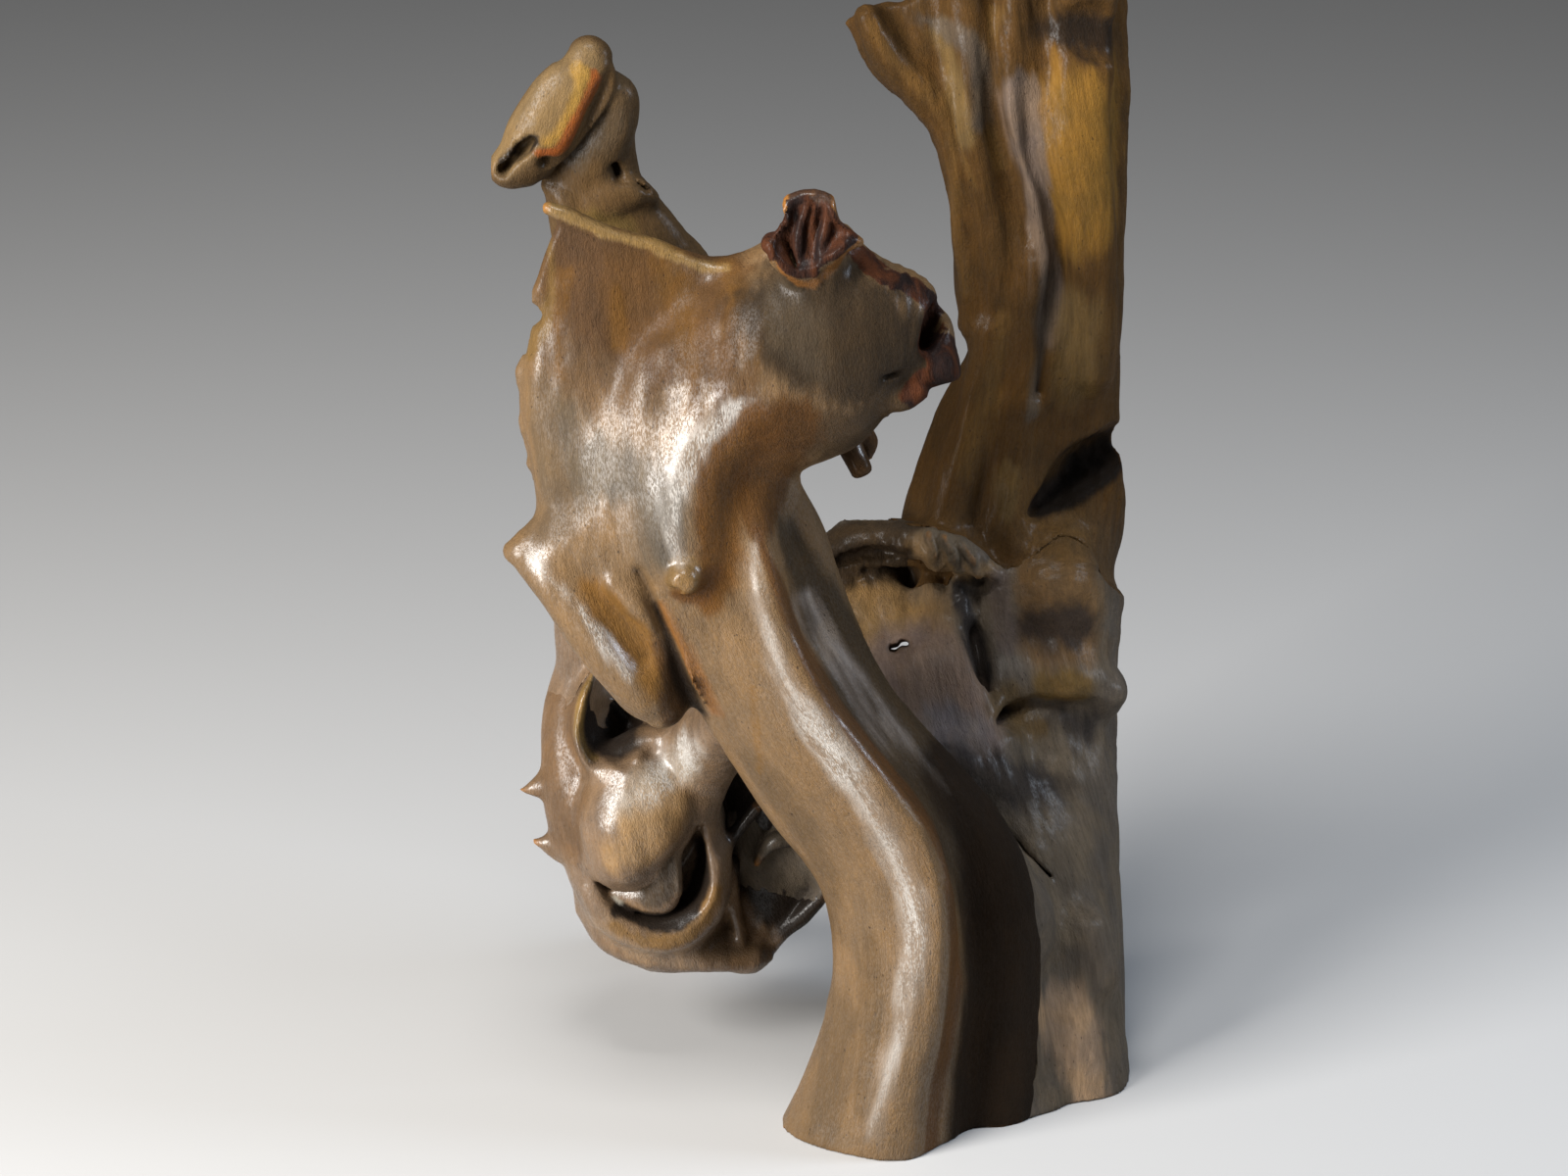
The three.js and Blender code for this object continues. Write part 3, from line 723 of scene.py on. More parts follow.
web = [[-119, 169, 37, 26, 4], [-100, 162, 36, 24, 5], [-68, 154, 36, 23, 6], [-32, 144, 35, 21, 7],
       [-5, 149, 34, 26, 10], [20, 150, 32, 30, 14]]
low_web = [[-120, 128, 38, 8, 4], [-124, 110, 36, 8, 5], [-124, 90, 35, 8, 5], [-120, 68, 34, 7, 6],
           [-112, 42, 30, 14, 8]]
web_rim = [[-120, 194, 37, 3, 3.5], [-111, 190, 36, 3.4, 4.2], [-90, 181, 36, 2.6, 4],
           [-68, 175, 36, 3, 4.5], [-55, 169, 35, 3, 4.5], [-40, 164, 34, 3, 5], [-28, 163, 34, 3, 5],
           [-16, 166, 33, 3.5, 6], [-5, 176, 32, 4.5, 8]]
crown_swell = [[-66, 138, 46, 20, 8], [-44, 128, 36, 26, 15], [-24, 118, 30, 28, 22], [-6, 122, 24, 28, 24]]
trunk.grow_each((web, 8, 3), (crown_swell, 20), (low_web, 10, 3), (web_rim, 5))

lobe = [[-50, 85, 28, 36, 20], [-24, 98, 26, 48, 26], [5, 115, 26, 54, 32], [31, 125, 26, 50, 34],
        [55, 128, 28, 38, 27], [68, 125, 32, 22, 18]]
torn_ridge = [[29, 180, 28, 6, 8], [40, 169, 28, 5, 8], [52, 160, 29, 4.5, 7], [66, 155, 30, 4.5, 7],
              [74, 148, 31, 4, 7], [75, 139, 31, 3, 6]]
snag_neck = [[20, 145, 30, 16, 20], [17, 160, 18, 15, 16], [15, 172, 10, 15, 12]]
snag = [[-6, 176, 4, 5, 9], [-2, 175, 3, 13, 10], [4, 175, 3, 20, 11], [11, 178, 3, 23.5, 11],
        [16, 180, 2, 23.5, 11], [21, 179, 3, 18, 10], [26, 178, 3, 12, 10], [32, 178, 4, 6, 8],
        [38, 177.5, 6, 2, 6]]
right_stub = [[55, 111, 28, 14, 17], [71, 113, 24, 11, 14], [83, 114, 20, 9.5, 11], [87, 115, 19, 8, 9]]
low_tear = [[48, 100, 18, 10, 12], [60, 98, 14, 8, 9], [71, 102, 13, 5, 6]]
trunk.grow_each((lobe, 14), (torn_ridge, 5), (snag_neck, 9, 8), (snag, 7), (right_stub, 6, 1.5),
                (low_tear, 5, 1.5))

bark_teeth = [
    [[-131, 116, 40, 2, 2.5], [-135, 111, 39, 2, 2.5], [-134, 104, 39, 2, 2.5]],
    [[-129, 90, 40, 2, 2.5], [-133.5, 86, 39, 1.6, 2], [-132, 80, 40, 2, 2]],
    [[-124, 66, 40, 3, 3], [-129.5, 64, 38, 2.2, 2.5], [-127, 60, 38, 2, 2]],
    [[-118, 58, 38, 4, 4], [-126, 56, 37, 2, 2.5]],
]
bark_flange = [[-132, 117, 40, 1.5, 2], [-132, 108, 40, 2.5, 3], [-131, 85, 40, 3, 3],
               [-128, 70, 40, 3.4, 3], [-125, 58, 40, 2.4, 3]]
left_point = [[-140, 20, 24, 2, 3], [-130, 22, 24, 9, 8], [-110, 24, 24, 18, 13], [-85, 27, 25, 24, 15],
              [-60, 30, 32, 20, 9]]
flap = [[-112, 17, 18, 18, 10], [-94, -2, 14, 26, 12], [-78, -25, 12, 27, 13], [-66, -44, 14, 20, 12],
        [-59, -57, 16, 12, 10]]
flap_roll = [[-135, 17, 20, 5, 5], [-120, 3, 12, 9, 9], [-102, -18, 8, 10, 11], [-86, -37, 6, 11, 12],
             [-72, -54, 7, 12, 12], [-63, -62, 9, 8, 9]]
flap_ridge = [[-86, 2, 5, 5, 5], [-78, -7, 2, 5, 5], [-71, -14, 1, 4, 4], [-67, -20, 2, 2, 3]]
flap_dish = [[-99, 4, -5, 5, 6], [-90, -9, -5, 7, 7], [-80, -24, -5, 7, 7], [-72, -36, -4, 5, 6]]
crease_edge = [[-66, -3, 1, 2, 4], [-58, -24, 0, 2.5, 6], [-51, -39, 0, 2.5, 7], [-46, -50, 1, 2.5, 7],
               [-41, -61, 4, 2, 5]]
bump = [[-46, 13, 8, 12, 10], [-49.5, 7, -2, 10.5, 10], [-51, 4.5, -8, 8.5, 8]]
bump_pit = [[-54, -1, -12, 2.2, 6], [-57, -3, -11, 1.8, 6]]
trunk.grow(bark_flange, blend=4, tip=1)
for tooth in bark_teeth:
    trunk.grow(tooth, blend=2.5)
trunk.grow_each((left_point, 12, 2), (flap, 12), (flap_roll, 12))
trunk.carve(flap_dish, blend=10)
trunk.grow(flap_ridge, blend=6)
trunk.grow(bump, blend=5)
snag_bowl = [[-5, 176, -12, 3, 10], [-1, 175, -12, 11, 13], [5, 175, -12, 17.5, 16],
             [11, 177.5, -12, 21, 17], [16, 179.5, -12, 21, 17], [21, 178.5, -12, 15.5, 15],
             [26, 178, -12, 9.5, 14], [33, 178, -12, 3, 12]]
snag_slit = [[1, 177, 0, 1, 4], [4, 169, 1, 1.5, 6], [7, 162, 2, 1, 4]]
lobe_mouth = [[86, 141, 22, 7, 14], [78, 137, 19, 8, 16], [72, 127, 18, 6, 13]]
tear_slit = [[51, 106, -4, 1.5, 9], [59, 107, -4, 2.2, 10], [68, 108, -2, 1.6, 8]]
trunk.carve_each((snag_bowl, 2), (lobe_mouth, 2.5), (tear_slit, 1.5))

splinters = [
    [[20, 163, 6, 1.5, 3], [19, 174, 2, 2.5, 4], [22, 188, 0, 2, 3], [21, 197, -1, 1, 2]],
    [[5, 162, 6, 1.5, 3], [7, 172, 3, 2.5, 4], [8, 184, 2, 2, 3], [12, 196, 0, 1, 2]],
    [[13, 158, 5, 1.5, 2], [14, 170, 6, 2, 3], [14, 184, 5, 2, 3], [17, 197, 1, 1, 2]],
    [[24, 168, 4, 3, 3], [29, 175, 3, 3, 3], [32, 179, 2, 2, 2]],
]
for splinter in splinters:
    trunk.grow(splinter, blend=3)
trunk.carve(snag_slit, blend=1.5)

leg = [[40, -308, 36, 58, 46], [50, -260, 32, 45, 35], [56, -225, 30, 38, 31], [59, -200, 30, 36, 30],
       [58, -175, 30, 35, 30], [54, -150, 30, 36, 30], [44, -125, 30, 38, 30], [26, -100, 30, 39, 30],
       [8, -75, 29, 38, 29], [-8, -50, 28, 38, 28], [-22, -25, 27, 38, 27], [-31, -5, 26, 40, 26]]
leg_ridge = [[56, -305, 6, 14, 14], [59, -260, 2, 12, 13], [69, -227, -2, 11, 12], [73, -200, -3, 10, 12],
             [75, -175, -3, 10, 12], [74, -150, -3, 10, 12], [66, -125, -3, 10, 12], [51, -104, -2, 10, 12],
             [35, -84, -1, 10, 11], [20, -64, 0, 9, 11], [9, -44, 1, 8, 11], [-1, -22, 4, 7, 9],
             [-8, 0, 6, 6, 8], [-12, 16, 9, 6, 7], [-14, 30, 12, 6, 6], [-15, 46, 17, 5, 5]]
leg_front = [[46, -305, 14, 24, 20], [50, -262, 11, 22, 18], [57, -227, 9, 21, 17], [60, -200, 8, 20, 17],
             [61, -175, 8, 20, 17], [60, -150, 8, 20, 17], [53, -128, 8, 20, 17], [39, -108, 8, 20, 17],
             [22, -88, 8, 20, 17], [7, -68, 8, 19, 17], [-5, -48, 9, 17, 16], [-16, -26, 12, 15, 14],
             [-24, -6, 18, 14, 12]]
ridge_groove = [[4, 8, 8, 2, 8], [10, -16, 6, 3, 9], [21, -40, 5, 3, 9], [36, -64, 4, 3.5, 9],
                [53, -86, 4, 3.5, 9], [70, -106, 4, 3.5, 9], [83, -126, 6, 3, 8], [90, -150, 10, 3, 8]]
crease = [[-74, 8, 1, 1, 2], [-70, 0, 0, 1.2, 3], [-64, -14, -1, 1.6, 4], [-58, -29, -2, 2.4, 7],
          [-53, -46, -2, 3.6, 11], [-47, -61, -1, 4, 13], [-41, -72, 4, 2.5, 10]]
leg_flank = [[100, -308, 62, 36, 36], [102, -250, 60, 32, 32], [104, -200, 58, 28, 30],
             [105, -165, 58, 27, 28], [95, -135, 58, 25, 26], [76, -108, 56, 23, 24], [56, -82, 54, 20, 22],
             [40, -58, 52, 17, 20], [28, -30, 50, 14, 18], [18, 0, 46, 12, 16], [10, 28, 42, 11, 13],
             [0, 52, 36, 8, 10]]
trunk.grow_each((leg, 12), (leg_flank, 14), (leg_front, 12), (leg_ridge, 15))
trunk.carve(ridge_groove, blend=6)
trunk.grow(crease_edge, blend=5)
trunk.carve(crease, blend=7)
trunk.carve(bump_pit, blend=2)

# A spine is a list of places [right, up, back] that the grain follows.
trunk_spine = [[-66, 185, 34], [-60, 120, 32], [-50, 50, 28], [-24, -25, 27], [18, -90, 29], [50, -140, 30],
               [58, -190, 30], [50, -260, 32], [40, -320, 36]]
trunk_surface = Surface(trunk, 4, trunk_spine, BEIGE)
crown_ochre = [[-95, 175, 34, 44, 30], [-60, 150, 34, 48, 30], [-30, 118, 24, 36, 34], [-24, 95, 14, 20, 30]]
crown_brown = [[-104, 175, 34, 12, 20], [-104, 140, 34, 20, 20], [-96, 108, 30, 24, 22],
               [-70, 104, 24, 20, 22]]
ochre_streaks = [
    [[-112, 160, 34, 5, 14], [-116, 130, 34, 4, 14], [-114, 112, 34, 3, 14]],
    [[-58, 168, 34, 8, 16], [-52, 140, 28, 9, 18], [-44, 112, 20, 8, 20]],
    [[-28, 160, 32, 7, 16], [-18, 140, 16, 8, 20], [-12, 118, 6, 8, 20]],
    [[-84, 150, 34, 4, 14], [-84, 126, 32, 5, 16]],
]
torso_pale = [[-112, 92, 30, 10, 20], [-108, 60, 26, 18, 22], [-88, 62, 20, 20, 26], [-66, 52, 10, 18, 26],
              [-62, 20, 8, 14, 24]]
lobe_dark = [[6, 136, 0, 28, 46], [34, 126, 0, 38, 50], [66, 118, 10, 24, 46]]
# Painted sheen: greyer on the top left of the lobe, where the light catches it.
lobe_painted_sheen = [[0, 150, 0, 9, 40], [6, 132, 0, 14, 40], [14, 118, 0, 8, 40]]
lobe_low = [[-4, 88, 10, 14, 40], [24, 84, 16, 20, 40], [54, 90, 24, 18, 40], [76, 98, 26, 12, 36]]
left_dull = [[-124, 104, 34, 8, 24], [-118, 76, 32, 10, 24], [-112, 46, 28, 12, 24], [-118, 28, 22, 10, 20]]
torso_shade = [[-14, 82, -4, 14, 30], [-29, 64, -4, 14, 30], [-33, 40, -4, 12, 30], [-33, 12, -2, 11, 26],
               [-36, -4, 2, 8, 20]]
# Painted shade: dark brown on the side of the torso that turns away from the light.
torso_right_painted_shade = [[2, 84, 0, 18, 40], [-8, 56, 4, 16, 36], [-12, 36, 8, 10, 30]]
flap_shade = [[-98, -2, -2, 7, 14], [-84, -18, -2, 9, 16], [-72, -36, -2, 8, 16], [-62, -52, -2, 8, 18]]
# Painted shade: darker brown under the end of the flap.
flap_under_painted_shade = [[-64, -30, 0, 4, 16], [-57, -48, 0, 7, 18], [-56, -64, 4, 7, 20]]
# Painted shade: near black in the crease between the flap and the leg.
crease_painted_shade = [[-66, -10, 0, 1.5, 14], [-60, -24, 0, 2.5, 16], [-54, -44, 0, 5.5, 18],
               [-48, -60, 0, 5.5, 20], [-41, -72, 6, 4, 16]]
crease_orange = [[-63, -8, 0, 2, 9], [-56, -24, -2, 3, 12], [-48, -40, -2, 4, 12], [-41, -54, 0, 4.5, 14],
                 [-35, -66, 4, 4, 14]]
# Dark olive on the right-facing flank, partly its own tone and partly painted shade.
flank_olive_and_shade = [[-2, 40, 44, 8, 30], [12, 8, 40, 10, 36], [26, -24, 36, 14, 36], [44, -54, 32, 18, 36],
               [70, -86, 30, 22, 38], [98, -120, 30, 25, 40], [112, -150, 34, 26, 46]]
# Painted shade: near black down the flank that faces away from the light.
flank_painted_shade = [[84, -92, 34, 14, 36], [104, -122, 34, 20, 40], [114, -156, 34, 26, 46],
              [112, -200, 40, 28, 50], [106, -250, 44, 30, 56], [100, -316, 50, 34, 60]]
# Painted sheen and highlight: a pale grey strip along the flank where a cool light would reflect, rubbed
# pale.
flank_painted_sheen = [[12, -8, 10, 5, 20], [25, -34, 8, 7, 24], [42, -56, 8, 8, 26], [60, -79, 8, 8, 26],
              [78, -98, 8, 7, 26], [90, -114, 8, 5, 24]]
flank_painted_highlight = [[56, -74, 8, 5, 24], [70, -90, 8, 6, 24], [88, -112, 8, 5, 24]]
ridge_orange = [[-14, 28, 0, 2, 10], [-6, 10, 0, 2.5, 12], [3, -14, 0, 3.5, 12], [16, -44, 0, 4, 12],
                [40, -80, 0, 4.5, 12], [66, -108, 0, 5, 12], [82, -134, 0, 5, 14], [87, -165, 2, 4.5, 14],
                [86, -205, 4, 4.5, 16], [78, -250, 8, 4.5, 18], [72, -310, 12, 4.5, 20]]
leg_streak = [[-16, -50, 0, 1.5, 14], [-14, -70, 0, 2.5, 14], [-12, -95, 2, 2, 14]]
knob_tone = [[-50, 8, -4, 9, 12], [-51, 4, -8, 9, 10]]
knob_shade = [[-36, 6, -4, 6, 14], [-42, -4, -4, 5, 14], [-54, -5, -8, 4, 10]]
trunk_surface.stain(OCHRE, crown_ochre, 0.95, 0.7, 14, 3)
trunk_surface.stain(PURPLE_BROWN, crown_brown, 0.6, 0.9, 14, 5)
for number, streak in enumerate(ochre_streaks):
    trunk_surface.stain(YELLOW_OCHRE, streak, 0.5, 1.2, 6, 90 + number)
trunk_surface.stain_each(
    ((0.06, 0.05, 0.038, 0.06), torso_pale, 0.85, 0.9, 8, 4),
    ((0.075, 0.05, 0.028, 0.04), left_dull, 0.85, 1.2, 6, 6),
    (OLIVE, lobe_dark, 0.95, 0.7, 12, 7),
    ((0.042, 0.03, 0.018, 0.15), lobe_painted_sheen, 0.6, 1.0, 8, 8),
    ((0.03, 0.018, 0.008, 0.1), lobe_low, 0.85, 0.8, 8, 10),
    ((0.078, 0.034, 0.0065, 0.12), torso_shade, 0.95, 0.6, 6, 9),
    ((0.05, 0.021, 0.0035, 0.1), torso_right_painted_shade, 0.9, 0.7, 6, 9),
    ((0.12, 0.057, 0.0105, 0.1), flap_shade, 0.85, 0.9, 5, 12),
    ((0.042, 0.02, 0.006, 0.2), flap_under_painted_shade, 0.9, 0.8, 4, 19),
)
leg_shades = [
    [[-18, -84, 10, 6, 20], [4, -112, 14, 8, 24], [20, -142, 16, 8, 26], [26, -176, 18, 7, 26]],
    [[30, -214, 16, 8, 26], [26, -250, 20, 9, 28], [14, -300, 26, 14, 34]],
    [[44, -180, 2, 5, 20], [46, -216, 4, 7, 20], [40, -258, 8, 8, 22]],
]
for number, shade in enumerate(leg_shades):
    trunk_surface.stain((0.062, 0.037, 0.015, 0.3), shade, 0.6, 1.4, 8, 80 + number)
trunk_surface.stain_each(
    ((0.11, 0.057, 0.014, 0.5), leg_streak, 0.8, 1.2, 2, 14),
    ((0.032, 0.02, 0.0085, 0.2), flank_olive_and_shade, 0.95, 0.4, 4, 29),
    ((0.009, 0.0045, 0.0015, 0.0), flank_painted_shade, 0.97, 0.5, 5, 11),
    ((0.2, 0.165, 0.145, 0.8), flank_painted_sheen, 0.8, 1.3, 5, 20),
    ((0.27, 0.23, 0.2, 0.8), flank_painted_highlight, 0.6, 1.4, 4, 21),
    ((0.066, 0.027, 0.005, 0.15), ridge_orange, 0.85, 0.9, 4, 13),
)
rim_gold = [[-121, 196, 37, 3.5, 8], [-111, 191, 36, 3.2, 8], [-90, 182, 36, 3, 8], [-68, 176, 36, 3, 8],
            [-55, 170, 35, 3, 8], [-40, 165, 34, 2.5, 8], [-28, 164, 33, 2.5, 8]]
left_gold = [[-121, 194, 37, 2, 10], [-119, 170, 37, 2, 10], [-119, 150, 37, 2, 10], [-124, 132, 38, 5, 10],
             [-129, 120, 38, 3, 10]]
snag_gold = [[-5, 172, 0, 1.6, 14], [0, 163, 0, 1.6, 14], [8, 156.5, 0, 2, 14], [17, 157, 0, 2, 14],
             [27, 166, 0, 2.4, 14], [36, 177, 0, 2.4, 14]]
trunk_surface.stain_each(
    (GOLD, rim_gold, 0.85, 0.8, 2, 26),
    ((0.1, 0.06, 0.018, 0.06), left_gold, 0.7, 1.0, 3, 27),
    (ORANGE, snag_gold, 0.8, 0.8, 2, 28),
    ((0.115, 0.068, 0.023, 0.5), knob_tone, 0.9, 0.5, 2, 22),
    (RED_BROWN, knob_shade, 0.9, 0.8, 2, 23),
    (SHADE_BLACK, crease_painted_shade, 0.85, 1.0, 2, 16),
    (ORANGE, crease_orange, 0.75, 1.2, 4, 18),
)

# Crests rubbed pale, partly wear and partly painted highlights along the torso, leg, flap and web.
torso_crest = [[-16, 98, 0, 5, 22], [-27, 92, 0, 9, 24], [-42, 76, 0, 9, 24], [-54, 56, 0, 10, 24],
               [-57, 34, 0, 8, 22], [-55, 20, 0, 5, 20]]
torso_side = [[-108, 78, 20, 8, 26], [-92, 64, 14, 9, 26], [-80, 44, 12, 7, 24]]
leg_crest = [[-14, 26, 4, 3, 12], [-14, 4, 2, 5, 12], [-5, -30, 0, 7, 16], [12, -60, 0, 9, 18],
             [29, -84, 0, 11, 20], [47, -112, 0, 12, 22], [60, -138, 0, 11, 22], [66, -162, 0, 10, 22],
             [65, -190, 0, 9, 22], [61, -218, 0, 8, 22], [52, -246, 0, 6, 20], [44, -275, 0, 5, 20]]
leg_painted_highlight = [[14, -64, 0, 7, 18], [30, -88, 0, 10, 20]]
leg_low_painted_highlight = [[66, -154, 0, 8, 20], [66, -178, 0, 8, 20], [63, -204, 0, 7, 20]]
flap_crest = [[-128, 16, 10, 3, 14], [-116, 2, 4, 4, 14], [-102, -14, 0, 5, 14], [-88, -30, -2, 5, 14],
              [-78, -44, -2, 4, 14]]
web_painted_highlight = [[-55, 165, 30, 2.5, 12], [-34, 160, 30, 3.5, 12], [-12, 162, 30, 3, 12]]
flap_fold = [[-84, 2, -2, 3, 10], [-76, -9, -2, 3, 10]]
rubbed_and_highlit_crests = [
    (torso_crest, 0.9), (torso_side, 0.15), (leg_crest, 0.7), (leg_painted_highlight, 0.8), (leg_low_painted_highlight, 0.7),
    (flap_crest, 0.75), (flap_fold, 0.3), (web_painted_highlight, 0.3),
]
for number, (crest, amount) in enumerate(rubbed_and_highlit_crests):
    trunk_surface.rub_and_paint_highlight(crest, amount, 2.2, 5, 60 + number)
snag_tips = [[6, 194, -2, 8, 18], [17, 201, -2, 8, 18], [25, 193, -2, 6, 16]]
snag_break = [[-4, 176, -6, 10, 14], [4, 176, -6, 18, 14], [11, 178, -6, 21, 14], [18, 179, -6, 19, 14],
              [26, 178, -6, 12, 14], [34, 178, -6, 5, 14]]
mouth_break = [[78, 140, 20, 9, 18], [72, 127, 18, 7, 16], [84, 114, 16, 11, 16], [66, 100, 12, 9, 14]]
ridge_break = [[34, 175, 20, 3, 14], [50, 161, 20, 3.5, 14], [66, 155, 20, 3.5, 14], [75, 146, 20, 3.5, 14]]
trunk_surface.stain((0.03, 0.013, 0.007, 0.5), snag_tips, 0.95, 0.8, 2, 30)
trunk_surface.tear(snag_break, 0.2, 3, 15)
trunk_surface.tear(mouth_break, 0.4, 3, 17)
trunk_surface.tear(ridge_break, 0.6, 3, 24)
trunk_surface.raise_by(relief(trunk_surface, 21, 1.1, 0.25))
trunk_wood = varnished_wood("trunk_wood", {"Figure": 0.5, "Lines": 0.15, "Relief": 1.0})
piece_of("front_trunk", trunk_surface, trunk_wood)

# Hollow burl: the knotted swelling behind the trunk at lower left, with two rimmed hollows, two
# short spikes, a thin dark sheet of wood beside it, and the rear root that stands on the third foot.
# The same wood, grown from the trunk by its neck.
burl = Branch()
burl_body = [[-80, -70, 132, 32, 30], [-78, -95, 126, 44, 42], [-72, -125, 124, 46, 46],
             [-66, -152, 130, 41, 44], [-58, -168, 138, 34, 36]]
burl_left = [[-102, -36, 130, 8, 8], [-106, -54, 127, 15, 17], [-108, -72, 122, 16, 18],
             [-108, -100, 116, 16, 20], [-102, -128, 116, 16, 20]]
burl_neck = [[-22, -62, 48, 16, 16], [-34, -72, 78, 20, 20], [-44, -88, 100, 22, 22],
             [-50, -105, 104, 20, 20]]
burl_nose = [[-72, -100, 92, 26, 20], [-79, -122, 84, 27, 20], [-83, -140, 86, 20, 14]]
burl_bottom = [[-97, -162, 122, 9, 16], [-88, -176, 118, 9, 18], [-68, -183, 116, 9, 18],
               [-44, -185, 118, 9, 18], [-18, -186, 124, 9, 14]]
burl_tail = [[-32, -182, 122, 8, 9], [-19, -190, 122, 6, 8], [-7, -188, 122, 2, 3]]
upper_spike = [[-110, -98, 114, 12, 10], [-121, -100.5, 112, 8, 7], [-129, -102.5, 110, 4, 4],
               [-134, -103, 110, 1, 1.5]]
lower_spike = [[-106, -128, 114, 13, 10], [-116, -130.5, 112, 8.5, 7], [-123, -130, 110, 4, 4],
               [-128, -129, 110, 1, 1.5]]
burl.grow_each((burl_body, 12, 18), (burl_left, 10, 8), (burl_neck, 10), (burl_nose, 9), (burl_bottom, 8),
               (burl_tail, 5), (upper_spike, 5), (lower_spike, 5))

dark_sheet = [[-15, -72, 146, 18, 18], [-8, -100, 148, 26, 20], [-5, -130, 148, 27, 20],
              [-8, -152, 146, 24, 18], [-18, -175, 138, 16, 15]]
sheet_edge = [[19, -135, 134, 8, 8], [21, -152, 132, 4, 6], [10, -166, 132, 5, 6], [0, -174, 132, 4, 6],
              [-9, -184, 132, 4, 6]]
sheet_fold = [[-34, -137, 116, 2.5, 4], [-24, -124, 116, 3.5, 5], [-14, -112, 118, 3.5, 5]]
sheet_lump = [[-13, -140, 122, 2.5, 4], [-6, -130, 119, 5, 6], [6, -127, 121, 4, 5]]
sheet_rib = [[-26, -140, 124, 3, 6], [-26, -160, 122, 4, 7], [-22, -178, 120, 3, 6]]
rear_root = [[-55, -125, 176, 24, 26], [-53, -145, 215, 19, 21], [-51, -165, 250, 18, 20],
             [-50, -188, 275, 19, 21], [-50, -205, 282, 20, 22]]
burl.grow_each((dark_sheet, 8), (sheet_edge, 5), (sheet_fold, 5), (sheet_lump, 4), (sheet_rib, 6),
               (rear_root, 12))

upper_hollow = [[-96, -42, 96, 2, 12], [-91, -58, 94, 9, 24], [-86, -72, 94, 15, 30], [-76, -81, 92, 12, 24],
                [-66, -80, 92, 5, 14]]
upper_rim = [[-98, -42, 112, 2, 12], [-103, -56, 106, 4, 15], [-105, -70, 102, 4.5, 14],
             [-102, -83, 96, 4, 12], [-95, -91, 92, 3.5, 9], [-84, -92, 88, 3, 6], [-74, -87, 85, 2.5, 4]]
lower_hollow = [[-95, -153, 80, 2, 14], [-86, -160, 80, 6, 22], [-72, -163, 80, 11, 30],
                [-58, -158, 82, 14, 32], [-49, -147, 84, 11, 30], [-44, -134, 86, 7, 26],
                [-43, -123, 88, 2, 16]]
nose_tip = [[-68, -104, 90, 25, 20], [-75, -120, 84, 25, 20], [-82, -136, 82, 19, 17]]
lower_rim = [[-98, -152, 94, 1.5, 3], [-93, -161, 91, 2, 4], [-80, -174, 89, 2.5, 4],
             [-64, -178, 88, 2.2, 4], [-49, -172, 88, 3, 5], [-38, -160, 89, 3, 5], [-35, -145, 92, 2, 4],
             [-38, -128, 97, 1.6, 4], [-42, -120, 101, 1.5, 3]]
tongue = [[-58, -126, 96, 4, 7], [-61, -138, 91, 8, 9], [-62, -149, 88, 9.5, 9], [-65, -157, 88, 11, 7],
          [-76, -158, 91, 7, 5], [-86, -155, 94, 3, 4]]
tongue_edge = [[-58, -129, 90, 1.6, 4], [-55, -142, 85, 2, 4], [-54, -155, 85, 1.6, 4]]
inner_roll = [[-95, -84, 108, 4, 8], [-84, -83, 102, 8, 10], [-71, -79, 99, 9, 10], [-58, -77, 96, 7, 8]]
sheet_hole = [[-11, -152, 118, 4, 9], [-7, -144, 118, 6, 10], [-2, -136, 118, 4, 8]]
chin = [[-100, -150, 102, 6, 14], [-88, -167, 100, 8, 17], [-66, -175, 100, 9, 19], [-46, -171, 102, 9, 17],
        [-34, -156, 104, 7, 15], [-33, -136, 104, 5, 12]]
burl.grow(chin, blend=9)
burl.carve(upper_hollow, blend=2.5)
burl.grow(inner_roll, blend=6)
burl.grow(upper_rim, blend=8)
burl.carve(lower_hollow, blend=2.5)
burl.grow_each((nose_tip, 3), (lower_rim, 8), (tongue, 5), (tongue_edge, 4))
burl.carve(sheet_hole, blend=4)

burl_spine = [[-90, -30, 120], [-88, -90, 120], [-76, -140, 124], [-60, -190, 150], [-50, -230, 200]]
burl_surface = Surface(burl, 10, burl_spine, (0.112, 0.071, 0.041, 0.55))
# Near black on the thin sheet, partly its dark stain and partly painted shade.
sheet_dark_and_shade = [[-8, -95, 130, 30, 40], [-2, -130, 130, 30, 40], [2, -156, 130, 22, 36],
              [6, -172, 130, 12, 30]]
sheet_beige = [[-36, -182, 110, 8, 20], [-22, -188, 110, 8, 20]]
sheet_grey = [[-13, -140, 116, 3, 12], [-4, -130, 114, 5, 12], [6, -127, 116, 3, 10]]
# Painted shade: near black inside the two hollows.
hollow_painted_shade = [
    [[-92, -50, 118, 13, 34], [-88, -68, 118, 17, 36], [-76, -72, 118, 13, 32]],
    [[-44, -132, 96, 5, 20], [-43, -148, 92, 6.5, 22], [-52, -166, 90, 6, 20], [-68, -168, 90, 5, 20],
     [-84, -162, 92, 4, 18]],
]
nose_ochre = [[-60, -112, 66, 12, 22], [-74, -130, 64, 16, 22], [-84, -136, 66, 8, 16]]
rim_yellow = [[-98, -44, 94, 3, 6], [-103, -60, 90, 4, 8], [-103, -74, 88, 4, 8], [-98, -86, 84, 3, 8]]
mouth_ochre = [[-88, -172, 84, 3, 10], [-66, -180, 84, 4, 10], [-46, -174, 86, 4, 10],
               [-34, -154, 88, 3.5, 10]]
burl_side = [[-112, -60, 110, 12, 26], [-112, -90, 106, 14, 26], [-108, -124, 106, 12, 26]]
# Painted highlight: a pale rubbed patch on the nose.
nose_painted_highlight = [[-74, -112, 64, 14, 16], [-60, -96, 66, 16, 16]]
burl_low = [[-92, -166, 104, 10, 26], [-64, -181, 104, 10, 26], [-38, -180, 108, 10, 26]]
